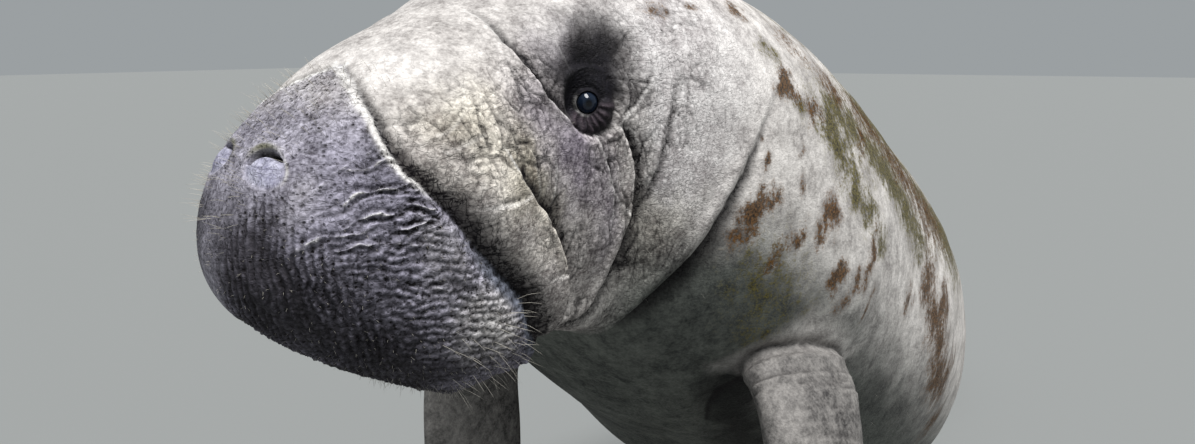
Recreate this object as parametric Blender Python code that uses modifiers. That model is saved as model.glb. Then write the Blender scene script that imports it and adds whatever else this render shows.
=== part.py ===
"""A life-size adult manatee with its head raised, on a display stand.

Metres, +Z up. The head is towards -Y and the animal's left is +X. The origin is on the floor,
under the middle of the stand's base.

The body is one loft along a bent spine, parted by thin cuts into the lengths that have names.
A place on it is given by two numbers: the distance from the snout along the spine, and the
angle round it, with 0 on the back, 90 on the left flank and 180 under the belly.
"""

import math

import bmesh
import bpy
import numpy as np
from mathutils import Matrix, Vector

# --- Driving sizes, in metres ---

BODY_LENGTH = 3.000  # along the spine, from the snout to the end of the tail paddle
GAP = 0.0003  # between solids that meet
TRIM_GAP = 0.0005  # the same, measured along a radius that meets the skin at a slant
ROUND_SIDES = 46  # flats round the body

SPINE_HEIGHT = 0.670  # of the anchor over the floor
SPINE_SHIFT = -0.060  # of the anchor along Y, which puts the weight over the stand
SPINE_ANCHOR = 1.200  # the distance along the spine that keeps its place when the pose changes
SPINE_STEP = 0.002

# name: (distance from the snout, half width, height over the spine, depth under it, squareness)
SECTIONS = {
    "snout": (0.00, 0.090, 0.072, 0.118, 2.5),
    "nostrils": (0.10, 0.102, 0.094, 0.162, 2.5),
    "lip lobes": (0.16, 0.108, 0.107, 0.165, 2.4),
    "mouth corner": (0.22, 0.113, 0.113, 0.175, 2.3),
    "cheeks": (0.30, 0.134, 0.125, 0.205, 2.2),
    "jowls": (0.40, 0.180, 0.156, 0.215, 2.2),
    "nape": (0.52, 0.228, 0.200, 0.235, 2.2),
    "shoulders": (0.68, 0.268, 0.240, 0.270, 2.2),
    "chest": (0.88, 0.307, 0.274, 0.284, 2.2),
    "ribs": (1.10, 0.338, 0.305, 0.316, 2.2),
    "girth": (1.35, 0.342, 0.313, 0.316, 2.2),
    "loins": (1.60, 0.322, 0.295, 0.295, 2.2),
    "hips": (1.85, 0.272, 0.250, 0.245, 2.1),
    "rump": (2.08, 0.210, 0.195, 0.180, 2.1),
    "tail stock": (2.26, 0.178, 0.140, 0.125, 2.0),
    "paddle root": (2.40, 0.215, 0.098, 0.088, 2.0),
    "paddle flare": (2.56, 0.320, 0.062, 0.056, 2.0),
    "paddle": (2.74, 0.380, 0.042, 0.038, 2.0),
    "paddle end": (3.00, 0.380, 0.016, 0.016, 2.0),
}
SNOUT_ROUND, SNOUT_POWER = 0.100, 2.3  # length and fullness of the rounding at the snout
PADDLE_ROUND, PADDLE_POWER, PADDLE_EDGE = 0.300, 2.2, 0.4  # and at the end of the tail

# The pose: (distance, degrees by which the spine rises or turns left towards the tail)
RISE = [
    (0.00, 44.5),
    (0.10, 25.5),
    (0.30, 10.5),
    (0.50, -27.5),
    (0.75, -34.0),
    (1.20, -30.0),
    (1.60, -26.0),
    (2.00, -18.0),
    (2.40, -10.0),
    (3.00, -6.0),
]
TURN = [(0.00, 29.0), (0.20, 3.0), (0.90, 3.0), (1.60, 0.0), (3.00, -12.0)]

# name: (distance, angle, spread along, spread round in degrees, height)
BULGES = {
    "lip lobe": (0.165, 142, 0.045, 26, 0.022),
    "shoulder": (0.660, 112, 0.100, 22, 0.020),
}

# node: (from, to, number of rings, colour)
LENGTHS = {
    "muzzle": (0.000, 0.120, 10, "muzzle"),
    "head": (0.120, 0.300, 7, "face"),
    "neck": (0.300, 0.540, 9, "hide"),
    "trunk_front": (0.540, 1.100, 9, "hide"),
    "trunk_rear": (1.100, 1.950, 11, "hide"),
    "tail_stock": (1.950, 2.360, 7, "hide"),
    "tail_paddle": (2.360, 3.000, 12, "hide"),
}

EYE_PLACE = (0.264, 77.2)  # distance and angle
EYE_RADIUS = 0.0105
EYE_DEPTH = 0.014  # of the eyeball's centre under the face
EYE_OPENING = 0.0120  # radius of the round opening over it

NOSTRIL_PLACE = (0.062, 18.5)
NOSTRIL_SIZE = (0.016, 0.011, 0.007)  # half lengths of the hollow: along, across, deep

JAW_PLACE = 0.165  # the lower jaw's middle along the spine
JAW_SIZE = (0.100, 0.120, 0.300)  # width, length and depth of the block that holds it
JAW_TOP = 0.100  # of that block, under the spine
JAW_EDGE = 0.020  # rounding of its edges

# Each flipper's middle line, from inside the shoulder to the tip, in the spine's frame
FLIPPER_ROUTES = {
    "left": [
        (0.114, -0.450, 0.146),
        (0.170, -0.536, 0.132),
        (0.211, -0.596, 0.098),
        (0.226, -0.620, 0.040),
        (0.223, -0.631, -0.035),
        (0.214, -0.639, -0.120),
        (0.203, -0.647, -0.235),
    ],
    "right": [
        (-0.125, -0.440, 0.175),
        (-0.178, -0.504, 0.154),
        (-0.218, -0.554, 0.116),
        (-0.230, -0.577, 0.052),
        (-0.224, -0.589, -0.040),
        (-0.217, -0.598, -0.130),
        (-0.210, -0.607, -0.235),
    ],
}
# From the leading edge to the trailing edge
FLIPPER_ACROSS = {"left": (0.42, 0.90, -0.10), "right": (0.32, 0.94, -0.08)}
# (share of the route, half breadth, half thickness)
FLIPPER_SECTIONS = [
    (0.00, 0.050, 0.034),
    (0.25, 0.066, 0.036),
    (0.45, 0.072, 0.031),
    (0.65, 0.076, 0.025),
    (0.85, 0.074, 0.017),
    (1.00, 0.066, 0.012),
]
FLIPPER_TIP = 0.13  # share of the route over which the tip rounds off
FLIPPER_RINGS, FLIPPER_SIDES = 14, 20

NAIL_SIZE = (0.0080, 0.0065, 0.0035)  # half lengths: across, along, thick
NAIL_SHARE = 0.925  # of the route, where the nails sit
NAIL_SPREAD = 0.026  # between neighbouring nails
NAIL_SINK = 0.0012  # of each nail's middle under the skin

BASE_SIZE = (0.700, 1.400, 0.030)
BASE_EDGE = 0.004
ROD_RADIUS, ROD_SIDES = 0.020, 24
FLANGE_RADIUS, FLANGE_HEIGHT = 0.050, 0.010
ROD_PLACES = {"stand_rod_front": (0.97, -0.010), "stand_rod_rear": (1.84, 0.0)}  # distance, X
ROD_REACH = 0.040  # by which a rod is made too long, before the belly trims it

# name: (red, green, blue, roughness, metallic)
COLOURS = {
    "muzzle": (0.115, 0.105, 0.120, 0.62, 0.0),
    "face": (0.300, 0.280, 0.255, 0.62, 0.0),
    "hide": (0.360, 0.340, 0.330, 0.65, 0.0),
    "eye": (0.010, 0.014, 0.030, 0.08, 0.0),
    "nail": (0.330, 0.300, 0.270, 0.45, 0.0),
    "base": (0.055, 0.050, 0.048, 0.55, 0.0),
    "steel": (0.420, 0.420, 0.430, 0.35, 1.0),
}


# --- Shape of the body ---


def smooth_curve(stations):
    """A smooth curve through (place, value) stations that never overshoots them."""
    places, values = (np.array(column, float) for column in zip(*stations))
    run = np.diff(places)
    slope = np.diff(values) / run
    before, after = slope[:-1], slope[1:]
    mean = (before * run[1:] + after * run[:-1]) / (run[1:] + run[:-1])
    limit = 3 * np.minimum(abs(before), abs(after))
    lean = np.concatenate([slope[:1], np.sign(mean) * np.minimum(abs(mean), limit), slope[-1:]])
    lean[1:-1][before * after <= 0] = 0

    def curve(place):
        place = np.clip(place, places[0], places[-1])
        i = np.clip(np.searchsorted(places, place, side="right") - 1, 0, len(run) - 1)
        t = (place - places[i]) / run[i]
        rise = t * t * (3 - 2 * t)
        bend = run[i] * (t * (1 - t) ** 2 * lean[i] - t * t * (1 - t) * lean[i + 1])
        return values[i] + rise * (values[i + 1] - values[i]) + bend

    return curve


half_width, height_above, depth_below, squareness = (
    smooth_curve([(row[0], row[column]) for row in SECTIONS.values()]) for column in range(1, 5)
)


class Spine:
    """The bent middle line, with the directions left, up and tailward at each point."""

    def __init__(self):
        self.along = np.arange(0, BODY_LENGTH + SPINE_STEP / 2, SPINE_STEP)
        rise = np.radians(smooth_curve(RISE)(self.along))
        turn = np.radians(smooth_curve(TURN)(self.along))
        level = np.cos(rise)
        self.tailward = np.stack([np.sin(turn) * level, np.cos(turn) * level, np.sin(rise)], 1)
        self.left = np.stack([np.cos(turn), -np.sin(turn), 0 * turn], 1)
        self.up = np.cross(self.left, self.tailward)
        steps = (self.tailward[1:] + self.tailward[:-1]) / 2 * SPINE_STEP
        self.middle = np.concatenate([np.zeros((1, 3)), np.cumsum(steps, 0)])
        self.middle -= self.middle[round(SPINE_ANCHOR / SPINE_STEP)]

    def read(self, track, distance):
        return np.stack([np.interp(distance, self.along, track[:, k]) for k in range(3)], -1)


SPINE = Spine()


def end_rounding(distance):
    """Shares of the full section left near the snout and near the end of the paddle."""
    to_snout = np.clip(1 - distance / SNOUT_ROUND, 0, 1)
    to_end = np.clip(1 - (BODY_LENGTH - distance) / PADDLE_ROUND, 0, 1)
    snout = (1 - to_snout**SNOUT_POWER) ** (1 / SNOUT_POWER)
    return snout, (1 - to_end**PADDLE_POWER) ** (1 / PADDLE_POWER)


def skin_point(distance, angle, proud=0.0):
    """A point on the body, or proud of it, at a distance and an angle in degrees."""
    distance, angle = np.broadcast_arrays(np.asarray(distance, float), np.asarray(angle, float))
    snout, paddle = end_rounding(distance)
    sine, cosine = np.sin(np.radians(angle)), np.cos(np.radians(angle))
    power = 2 / squareness(distance)
    reach = np.where(cosine >= 0, height_above(distance), depth_below(distance))
    across = half_width(distance) * np.sign(sine) * abs(sine) ** power * snout * paddle
    upward = reach * np.sign(cosine) * abs(cosine) ** power * snout * paddle**PADDLE_EDGE
    swell = 0 * distance
    for place, round_to, spread, spread_round, height in BULGES.values():
        far = ((distance - place) / spread) ** 2 + ((abs(angle) - round_to) / spread_round) ** 2
        swell = swell + height * np.exp(-far)
    grow = 1 + (swell * snout + proud) / np.maximum(np.hypot(across, upward), SPINE_STEP)
    return (
        SPINE.read(SPINE.middle, distance)
        + (across * grow)[..., None] * SPINE.read(SPINE.left, distance)
        + (upward * grow)[..., None] * SPINE.read(SPINE.up, distance)
    )


def skin_frame(distance, angle):
    """A matrix at a place on the body: X runs round it, Y tailward and Z out of it."""
    here = Vector(skin_point(distance, angle))
    tailward = (Vector(skin_point(distance + SPINE_STEP, angle)) - here).normalized()
    around = (Vector(skin_point(distance, angle + 1)) - here).normalized()
    out = around.cross(tailward).normalized()
    if out.dot(here - Vector(SPINE.read(SPINE.middle, distance))) < 0:
        out.negate()
    side = tailward.cross(out).normalized()
    return Matrix.Translation(here) @ Matrix([side, tailward, out]).transposed().to_4x4()


# --- Making objects ---


def clear_scene():
    for thing in list(bpy.data.objects):
        bpy.data.objects.remove(thing, do_unlink=True)


def new_collection(name):
    found = bpy.data.collections.new(name)
    bpy.context.scene.collection.children.link(found)
    return found


def material(name):
    red, green, blue, roughness, metallic = COLOURS[name]
    made = bpy.data.materials.new(name)
    made.use_nodes = True
    shader = made.node_tree.nodes["Principled BSDF"]
    shader.inputs["Base Color"].default_value = (red, green, blue, 1)
    shader.inputs["Roughness"].default_value = roughness
    shader.inputs["Metallic"].default_value = metallic
    return made


def add_object(name, mesh, colour=None, parent=None):
    """A node of the model, or a cutter where no colour is given."""
    made = bpy.data.objects.new(name, mesh)
    made.parent = parent
    if colour:
        mesh.materials.append(material(colour))
        mesh.shade_smooth()
        PARTS.objects.link(made)
    else:
        made.hide_render = True
        made.display_type = "WIRE"
        CUTTERS.objects.link(made)
    return made


def finish_mesh(name, work):
    bmesh.ops.recalc_face_normals(work, faces=work.faces)
    mesh = bpy.data.meshes.new(name)
    work.to_mesh(mesh)
    work.free()
    return mesh


def loft(name, rings):
    """A closed mesh through rings of points, where a ring shrunk to a point ends it in a fan.

    Its sides are triangles that all lean one way, so that a copy cuts along the same facets.
    """
    work = bmesh.new()
    rows = []
    for ring in rings:
        spread = np.ptp(ring, axis=0).max()
        points = ring[:1] if spread < GAP else ring
        rows.append([work.verts.new(point) for point in points])
    for lower, upper in zip(rows, rows[1:]):
        for i in range(len(rings[0])):
            j = (i + 1) % len(rings[0])
            start, end = lower[i % len(lower)], upper[j % len(upper)]
            for corner in (lower[j % len(lower)], upper[i % len(upper)]):
                if corner not in (start, end):
                    work.faces.new((start, corner, end))
    for row in (rows[0], rows[-1]):
        if len(row) > 1:
            work.faces.new(row)
    return finish_mesh(name, work)


def ring_places(node):
    """Distances of a length's rings, which come closer together where an end rounds off."""
    start, end, count, _ = LENGTHS[node]
    share = np.linspace(0, 1, count)
    if start == 0:
        share = 1 - np.cos(share * math.pi / 2)
    if end == BODY_LENGTH:
        share = np.sin(share * math.pi / 2)
    start += GAP / 2 if start > 0 else 0
    end -= GAP / 2 if end < BODY_LENGTH else 0
    return start + (end - start) * share


def body_loft(name, places, proud=0.0):
    angles = np.arange(ROUND_SIDES) * 360 / ROUND_SIDES
    return loft(name, [skin_point(place, angles, proud) for place in places])


def sphere_mesh(name, sizes, segments, rings):
    work = bmesh.new()
    bmesh.ops.create_uvsphere(work, u_segments=segments, v_segments=rings, radius=1)
    bmesh.ops.scale(work, vec=sizes, verts=work.verts)
    return finish_mesh(name, work)


def box_mesh(name, sizes, edge, steps):
    """A box about its middle, with rounded edges."""
    work = bmesh.new()
    bmesh.ops.create_cube(work, size=1)
    bmesh.ops.scale(work, vec=sizes, verts=work.verts)
    bmesh.ops.bevel(work, geom=list(work.edges), offset=edge, segments=steps, affect="EDGES")
    return finish_mesh(name, work)


def cut(piece, cutter, operation="DIFFERENCE"):
    change = piece.modifiers.new(cutter.name, "BOOLEAN")
    change.operation = operation
    change.solver = "EXACT"
    change.object = cutter


# --- The animal ---


def make_lengths():
    lengths = {}
    for name, (*_, colour) in LENGTHS.items():
        lengths[name] = add_object(name, body_loft(name, ring_places(name)), colour, ANIMAL)
    return lengths


def make_trimmer():
    """A copy of the neck and trunk, a gap larger all round, that trims what meets them."""
    places = np.concatenate([ring_places(name) for name in ("neck", "trunk_front", "trunk_rear")])
    return add_object("trimmer", body_loft("trimmer", places, proud=TRIM_GAP), parent=ANIMAL)


def jaw_block(name, ease):
    """The rounded block that parts the lower jaw from the lips and cheeks round it."""
    sizes = [size + 2 * ease for size in JAW_SIZE]
    block = add_object(name, box_mesh(name, sizes, JAW_EDGE, 2), parent=ANIMAL)
    left, tailward, up = (
        Vector(SPINE.read(track, JAW_PLACE)) for track in (SPINE.left, SPINE.tailward, SPINE.up)
    )
    middle = Vector(SPINE.read(SPINE.middle, JAW_PLACE)) - up * (JAW_TOP + JAW_SIZE[2] / 2)
    turned = Matrix([left, tailward, up]).transposed().to_4x4()
    block.matrix_local = Matrix.Translation(middle) @ turned
    return block


def make_jaw(lengths):
    places = np.concatenate([ring_places(name) for name in ("muzzle", "head")])
    mesh = body_loft("lower_jaw", places)
    jaw = add_object("lower_jaw", mesh, "muzzle", ANIMAL)
    cut(jaw, jaw_block("jaw_shape", 0), "INTERSECT")
    opening = jaw_block("jaw_opening", GAP)
    cut(lengths["muzzle"], opening)
    cut(lengths["head"], opening)


def make_eye(side, sign, head):
    distance, angle = EYE_PLACE
    place = skin_frame(distance, sign * angle) @ Matrix.Translation((0, 0, -EYE_DEPTH))
    ball = sphere_mesh("eye_" + side, [EYE_RADIUS] * 3, 16, 10)
    add_object("eye_" + side, ball, "eye", ANIMAL).matrix_local = place

    round_it = sphere_mesh("socket_" + side, [EYE_RADIUS + GAP] * 3, 16, 10)
    socket = add_object("socket_" + side, round_it, parent=ANIMAL)
    socket.matrix_local = place
    cut(head, socket)

    work = bmesh.new()
    bmesh.ops.create_cone(
        work,
        cap_ends=True,
        segments=16,
        radius1=EYE_RADIUS * 0.8,
        radius2=EYE_OPENING,
        depth=2 * EYE_DEPTH,
        matrix=Matrix.Translation((0, 0, EYE_DEPTH)),
    )
    opening = add_object("lids_" + side, finish_mesh("lids_" + side, work), parent=ANIMAL)
    opening.matrix_local = place
    cut(head, opening)


def make_nostril(side, sign, muzzle):
    distance, angle = NOSTRIL_PLACE
    along, across, deep = NOSTRIL_SIZE
    name = "nostril_" + side
    hollow = add_object(name, sphere_mesh(name, (across, along, deep), 12, 8), parent=ANIMAL)
    hollow.matrix_local = skin_frame(distance, sign * angle)
    cut(muzzle, hollow)


class Flipper:
    """A flipper's middle line and sections, by the share of the route travelled."""

    def __init__(self, side, sign):
        points = np.array(FLIPPER_ROUTES[side])
        lengths = np.linalg.norm(np.diff(points, axis=0), axis=1)
        shares = np.concatenate([[0], np.cumsum(lengths)]) / lengths.sum()
        self.lines = [smooth_curve(list(zip(shares, column))) for column in points.T]
        self.breadth = smooth_curve([(row[0], row[1]) for row in FLIPPER_SECTIONS])
        self.thickness = smooth_curve([(row[0], row[2]) for row in FLIPPER_SECTIONS])
        self.back_edge = np.array(FLIPPER_ACROSS[side])
        self.sign = sign

    def middle(self, share):
        return np.array([line(share) for line in self.lines])

    def directions(self, share):
        """Unit vectors across the blade and out of its outer face."""
        step = 0.01
        along = self.middle(min(share + step, 1)) - self.middle(max(share - step, 0))
        along /= np.linalg.norm(along)
        across = self.back_edge - along * along.dot(self.back_edge)
        across /= np.linalg.norm(across)
        return across, np.cross(along, across) * self.sign

    def ring(self, share):
        across, out = self.directions(share)
        to_tip = np.clip(1 - (1 - share) / FLIPPER_TIP, 0, 1)
        rounding = math.sqrt(1 - to_tip**2)
        turn = np.arange(FLIPPER_SIDES) / FLIPPER_SIDES * 2 * math.pi
        wide = np.cos(turn) * self.breadth(share) * rounding
        thick = np.sin(turn) * self.thickness(share) * rounding**0.5
        return self.middle(share) + wide[:, None] * across + thick[:, None] * out


def make_flipper(side, sign):
    """A flipper trimmed by the shoulder, and its nails in hollows near the tip."""
    shape = Flipper(side, sign)
    last = 1 - FLIPPER_TIP
    blade = np.linspace(0, last, FLIPPER_RINGS - 5, endpoint=False)
    tip = last + FLIPPER_TIP * np.sin(np.linspace(0, 1, 5) * math.pi / 2)
    mesh = loft("flipper_" + side, [shape.ring(share) for share in [*blade, *tip]])
    flipper = add_object("flipper_" + side, mesh, "hide", ANIMAL)
    cut(flipper, TRIMMER)

    across, out = (Vector(direction) for direction in shape.directions(NAIL_SHARE))
    skin = Vector(shape.middle(NAIL_SHARE)) + out * float(shape.thickness(NAIL_SHARE))
    turned = Matrix([across, out.cross(across), out]).transposed().to_4x4()
    for number in (1, 2, 3):
        middle = skin + across * NAIL_SPREAD * (number - 2) - out * NAIL_SINK
        seat = Matrix.Translation(middle) @ turned
        name = f"nail_{side}_{number}"
        nail = add_object(name, sphere_mesh(name, NAIL_SIZE, 12, 6), "nail", ANIMAL)
        nail.matrix_local = seat
        eased = [size + GAP for size in NAIL_SIZE]
        hollow = add_object("bed_" + name, sphere_mesh("bed_" + name, eased, 12, 6), parent=ANIMAL)
        hollow.matrix_local = seat
        cut(flipper, hollow)


# --- The stand ---


def make_base():
    width, length, thick = BASE_SIZE
    mesh = box_mesh("stand_base", BASE_SIZE, BASE_EDGE, 2)
    base = add_object("stand_base", mesh, "base")
    base.location = (0, 0, thick / 2)


def make_rod(name, distance, x):
    """A turned rod with a flange, upright from the base and trimmed by the belly."""
    belly = ANIMAL.matrix_world @ Vector(skin_point(distance, 180))
    foot = BASE_SIZE[2] + GAP
    top = belly.z + ROD_REACH
    outline = [(0, 0), (FLANGE_RADIUS, 0), (FLANGE_RADIUS, FLANGE_HEIGHT), (ROD_RADIUS, FLANGE_HEIGHT)]
    outline += [(ROD_RADIUS, top - foot), (0, top - foot)]
    mesh = bpy.data.meshes.new(name)
    edges = [(i, i + 1) for i in range(len(outline) - 1)]
    mesh.from_pydata([(radius, 0, height) for radius, height in outline[::-1]], edges, [])
    rod = add_object(name, mesh, "steel")
    rod.location = (x, belly.y, foot)
    turn = rod.modifiers.new("turn", "SCREW")
    turn.steps = turn.render_steps = ROD_SIDES
    turn.use_merge_vertices = True
    turn.merge_threshold = 0.0001
    cut(rod, TRIMMER)


clear_scene()
PARTS = new_collection("manatee")
CUTTERS = new_collection("cutters")

ANIMAL = bpy.data.objects.new("animal", None)
ANIMAL.location = (0, SPINE_SHIFT, SPINE_HEIGHT)
PARTS.objects.link(ANIMAL)
bpy.context.view_layer.update()

BODY = make_lengths()
TRIMMER = make_trimmer()
make_jaw(BODY)
for SIDE, SIGN in (("left", 1), ("right", -1)):
    make_eye(SIDE, SIGN, BODY["head"])
    make_nostril(SIDE, SIGN, BODY["muzzle"])
    make_flipper(SIDE, SIGN)
make_base()
for ROD, (DISTANCE, X) in ROD_PLACES.items():
    make_rod(ROD, DISTANCE, X)
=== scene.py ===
import math

import bpy
import numpy as np
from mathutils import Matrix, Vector, noise


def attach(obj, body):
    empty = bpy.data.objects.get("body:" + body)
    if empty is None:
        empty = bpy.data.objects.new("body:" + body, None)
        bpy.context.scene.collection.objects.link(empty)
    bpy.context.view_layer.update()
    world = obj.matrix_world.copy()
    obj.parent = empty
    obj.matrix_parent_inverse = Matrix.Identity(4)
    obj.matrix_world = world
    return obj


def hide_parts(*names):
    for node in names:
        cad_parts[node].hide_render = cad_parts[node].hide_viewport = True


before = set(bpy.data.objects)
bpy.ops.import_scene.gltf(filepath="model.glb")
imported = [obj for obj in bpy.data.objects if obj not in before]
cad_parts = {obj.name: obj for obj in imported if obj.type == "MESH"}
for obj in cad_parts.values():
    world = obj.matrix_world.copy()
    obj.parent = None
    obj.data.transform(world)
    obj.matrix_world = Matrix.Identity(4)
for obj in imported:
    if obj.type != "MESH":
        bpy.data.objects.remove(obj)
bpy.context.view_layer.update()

# A life-size manatee on a display stand. The skin, the eyes, the nails and the bristles are made
# here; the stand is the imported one. Metres, +Z up, head towards -Y, the animal's left is +X.
# A place on the body is a distance from the snout along the spine and an angle round it, in
# degrees: 0 on the back, 90 on the left flank, -90 on the right one, 180 under the belly.

MM = 0.001

# Without a seed, Blender's noise vectors start from the clock and differ from run to run.
NOISE_SEED = 7
noise.seed_set(NOISE_SEED)

# --- The body's driving sizes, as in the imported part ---

BODY_LENGTH = 3.000
SPINE_HEIGHT, SPINE_SHIFT, SPINE_ANCHOR, SPINE_STEP = 0.670, -0.060, 1.200, 0.002

# (distance from the snout, half width, height over the spine, depth under it, squareness)
SECTIONS = [
    (0.00, 0.090, 0.072, 0.118, 2.5),
    (0.10, 0.102, 0.094, 0.162, 2.5),
    (0.16, 0.108, 0.107, 0.165, 2.4),
    (0.22, 0.113, 0.113, 0.175, 2.3),
    (0.30, 0.134, 0.125, 0.205, 2.2),
    (0.40, 0.180, 0.156, 0.215, 2.2),
    (0.52, 0.228, 0.200, 0.235, 2.2),
    (0.68, 0.268, 0.240, 0.270, 2.2),
    (0.88, 0.307, 0.274, 0.284, 2.2),
    (1.10, 0.338, 0.305, 0.316, 2.2),
    (1.35, 0.342, 0.313, 0.316, 2.2),
    (1.60, 0.322, 0.295, 0.295, 2.2),
    (1.85, 0.272, 0.250, 0.245, 2.1),
    (2.08, 0.210, 0.195, 0.180, 2.1),
    (2.26, 0.178, 0.140, 0.125, 2.0),
    (2.40, 0.215, 0.098, 0.088, 2.0),
    (2.56, 0.320, 0.062, 0.056, 2.0),
    (2.74, 0.380, 0.042, 0.038, 2.0),
    (3.00, 0.380, 0.016, 0.016, 2.0),
]
SNOUT_ROUND, SNOUT_POWER = 0.100, 2.3
PADDLE_ROUND, PADDLE_POWER, PADDLE_EDGE = 0.300, 2.2, 0.4
RISE = [
    (0.00, 44.5),
    (0.10, 25.5),
    (0.30, 10.5),
    (0.50, -27.5),
    (0.75, -34.0),
    (1.20, -30.0),
    (1.60, -26.0),
    (2.00, -18.0),
    (2.40, -10.0),
    (3.00, -6.0),
]
TURN = [(0.00, 29.0), (0.20, 3.0), (0.90, 3.0), (1.60, 0.0), (3.00, -12.0)]

# (distance, angle, spread along, spread round in degrees, height)
BULGES = [
    (0.165, 142, 0.045, 26, 0.022),
    (0.660, 112, 0.100, 22, 0.020),
]

EYE_PLACE, EYE_RADIUS, EYE_DEPTH = (0.264, 77.2), 0.0105, 0.014
EYE_TURN = 28  # degrees by which the eye looks further forward than the skin round it faces
CORNEA_RISE = 0.0006
LID_OPENING = 0.0093  # radius of the round opening between the lids
LID_THICK = 0.0009
LID_EASE = 0.00035  # between the eyeball and the skin round it
LID_REACH = 0.035  # radius over which the lids' form passes into the cheek's
# In mm from the cheek's skin: the lids' depths, the upper one's slope, and the lower one's ridge
# with its height, its radius and its width
LOWER_LID, UPPER_LID, UPPER_LID_SLOPE = -7.6, -11.0, 0.20
LID_RIDGE, LID_RIDGE_RADIUS, LID_RIDGE_WIDTH = 4.8, 18.5, 7.5
LID_RIBS, LID_RIB_HEIGHT = 17, 0.75  # the ribs that fan out over the lower lid; mm
NOSTRIL_PLACE = (0.0625, 18.3)
NOSTRIL_OVAL, NOSTRIL_MIDDLE = (0.021, 0.0125), (-0.002, 0.0015)

FLIPPER_ROUTES = {
    "left": [
        (0.114, -0.450, 0.146),
        (0.170, -0.536, 0.132),
        (0.211, -0.596, 0.098),
        (0.226, -0.620, 0.040),
        (0.223, -0.631, -0.035),
        (0.214, -0.639, -0.120),
        (0.203, -0.647, -0.235),
    ],
    "right": [
        (-0.125, -0.440, 0.175),
        (-0.178, -0.504, 0.154),
        (-0.218, -0.554, 0.116),
        (-0.230, -0.577, 0.052),
        (-0.224, -0.589, -0.040),
        (-0.217, -0.598, -0.130),
        (-0.210, -0.607, -0.235),
    ],
}
FLIPPER_ACROSS = {"left": (0.42, 0.90, -0.10), "right": (0.32, 0.94, -0.08)}
# (share of the route, half breadth, half thickness)
FLIPPER_SECTIONS = [
    (0.00, 0.050, 0.034),
    (0.25, 0.066, 0.036),
    (0.45, 0.072, 0.031),
    (0.65, 0.076, 0.025),
    (0.85, 0.074, 0.017),
    (1.00, 0.066, 0.012),
]
FLIPPER_TIP = 0.13
FLIPPER_LIFT = 0.012  # over the body's skin, where the blend gives way to the blade
FLIPPER_FULLNESS = 1.05  # how far the blend bulges
NAIL_SHARE, NAIL_SPREAD, NAIL_SINK = 0.925, 0.026, 0.0012
NAIL_SIZE = (0.0080, 0.0065, 0.0035)

MUZZLE_FRONT = (0.036, 0.074)  # distances over which the muzzle's front gives way to its sides
PLEAT = 0.0054  # from one upright pleat of the muzzle's front to the next
FLAKE = 0.0066  # from one row of the lower muzzle's flakes to the next

# --- How finely the skin is made ---

ROUND_POINTS = 640
EYE_RINGS, EYE_CUP_RINGS, NOSTRIL_RINGS, NOSTRIL_FLOOR_RINGS = 40, 16, 22, 33
FLIPPER_BLEND_RINGS, FLIPPER_RINGS, FLIPPER_TIP_RINGS = 26, 110, 39
FLIPPER_TURNS = np.arange(0, 361, 2.0)  # degrees round a flipper from its trailing edge
ROOT_SHARES = np.linspace(0.14, 0.62, 121)  # shares of its route among which its root lies
SHARE_STEP = 0.004  # a small step down its route
END_SAMPLES, NEWTON_STEPS, EVEN_OFFSETS = 1500, 7, 721  # how finely the spacings are worked out
# (distance, spacing of the rings over the skin)
RING_SPACING = [
    (0.00, 0.0011),
    (0.20, 0.0011),
    (0.34, 0.0015),
    (0.60, 0.0023),
    (0.90, 0.0040),
    (1.30, 0.0090),
    (3.00, 0.0095),
]
# Where rings of the openings' own replace the body's: (from, to, angle from, angle to)
EYE_PATCH = (0.229, 0.299, 60.0, 94.0)
NOSTRIL_PATCH = (0.036, 0.090, 2.5, 36.0)
FLIPPER_PATCHES = {"left": (0.585, 0.765, 112, 152), "right": (0.568, 0.770, -157, -118)}


def smooth_curve(stations):
    """A smooth curve through (place, value) stations that never overshoots them."""
    places, values = (np.array(column, float) for column in zip(*stations))
    run = np.diff(places)
    slope = np.diff(values) / run
    before, after = slope[:-1], slope[1:]
    mean = (before * run[1:] + after * run[:-1]) / (run[1:] + run[:-1])
    limit = 3 * np.minimum(abs(before), abs(after))
    lean = np.concatenate([slope[:1], np.sign(mean) * np.minimum(abs(mean), limit), slope[-1:]])
    lean[1:-1][before * after <= 0] = 0

    def curve(place):
        place = np.clip(place, places[0], places[-1])
        i = np.clip(np.searchsorted(places, place, side="right") - 1, 0, len(run) - 1)
        t = (place - places[i]) / run[i]
        rise = t * t * (3 - 2 * t)
        bend = run[i] * (t * (1 - t) ** 2 * lean[i] - t * t * (1 - t) * lean[i + 1])
        return values[i] + rise * (values[i + 1] - values[i]) + bend

    return curve


half_width, height_above, depth_below, squareness = (
    smooth_curve([(row[0], row[column]) for row in SECTIONS]) for column in range(1, 5)
)


def ease(value, start, end):
    """0 before start and 1 after end, with a soft way between."""
    share = np.clip((value - start) / (end - start), 0, 1)
    return share * share * (3 - 2 * share)


def unit(vectors):
    """Vectors scaled to a length of 1."""
    return vectors / np.maximum(np.linalg.norm(vectors, axis=-1, keepdims=True), 1e-12)


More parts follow.
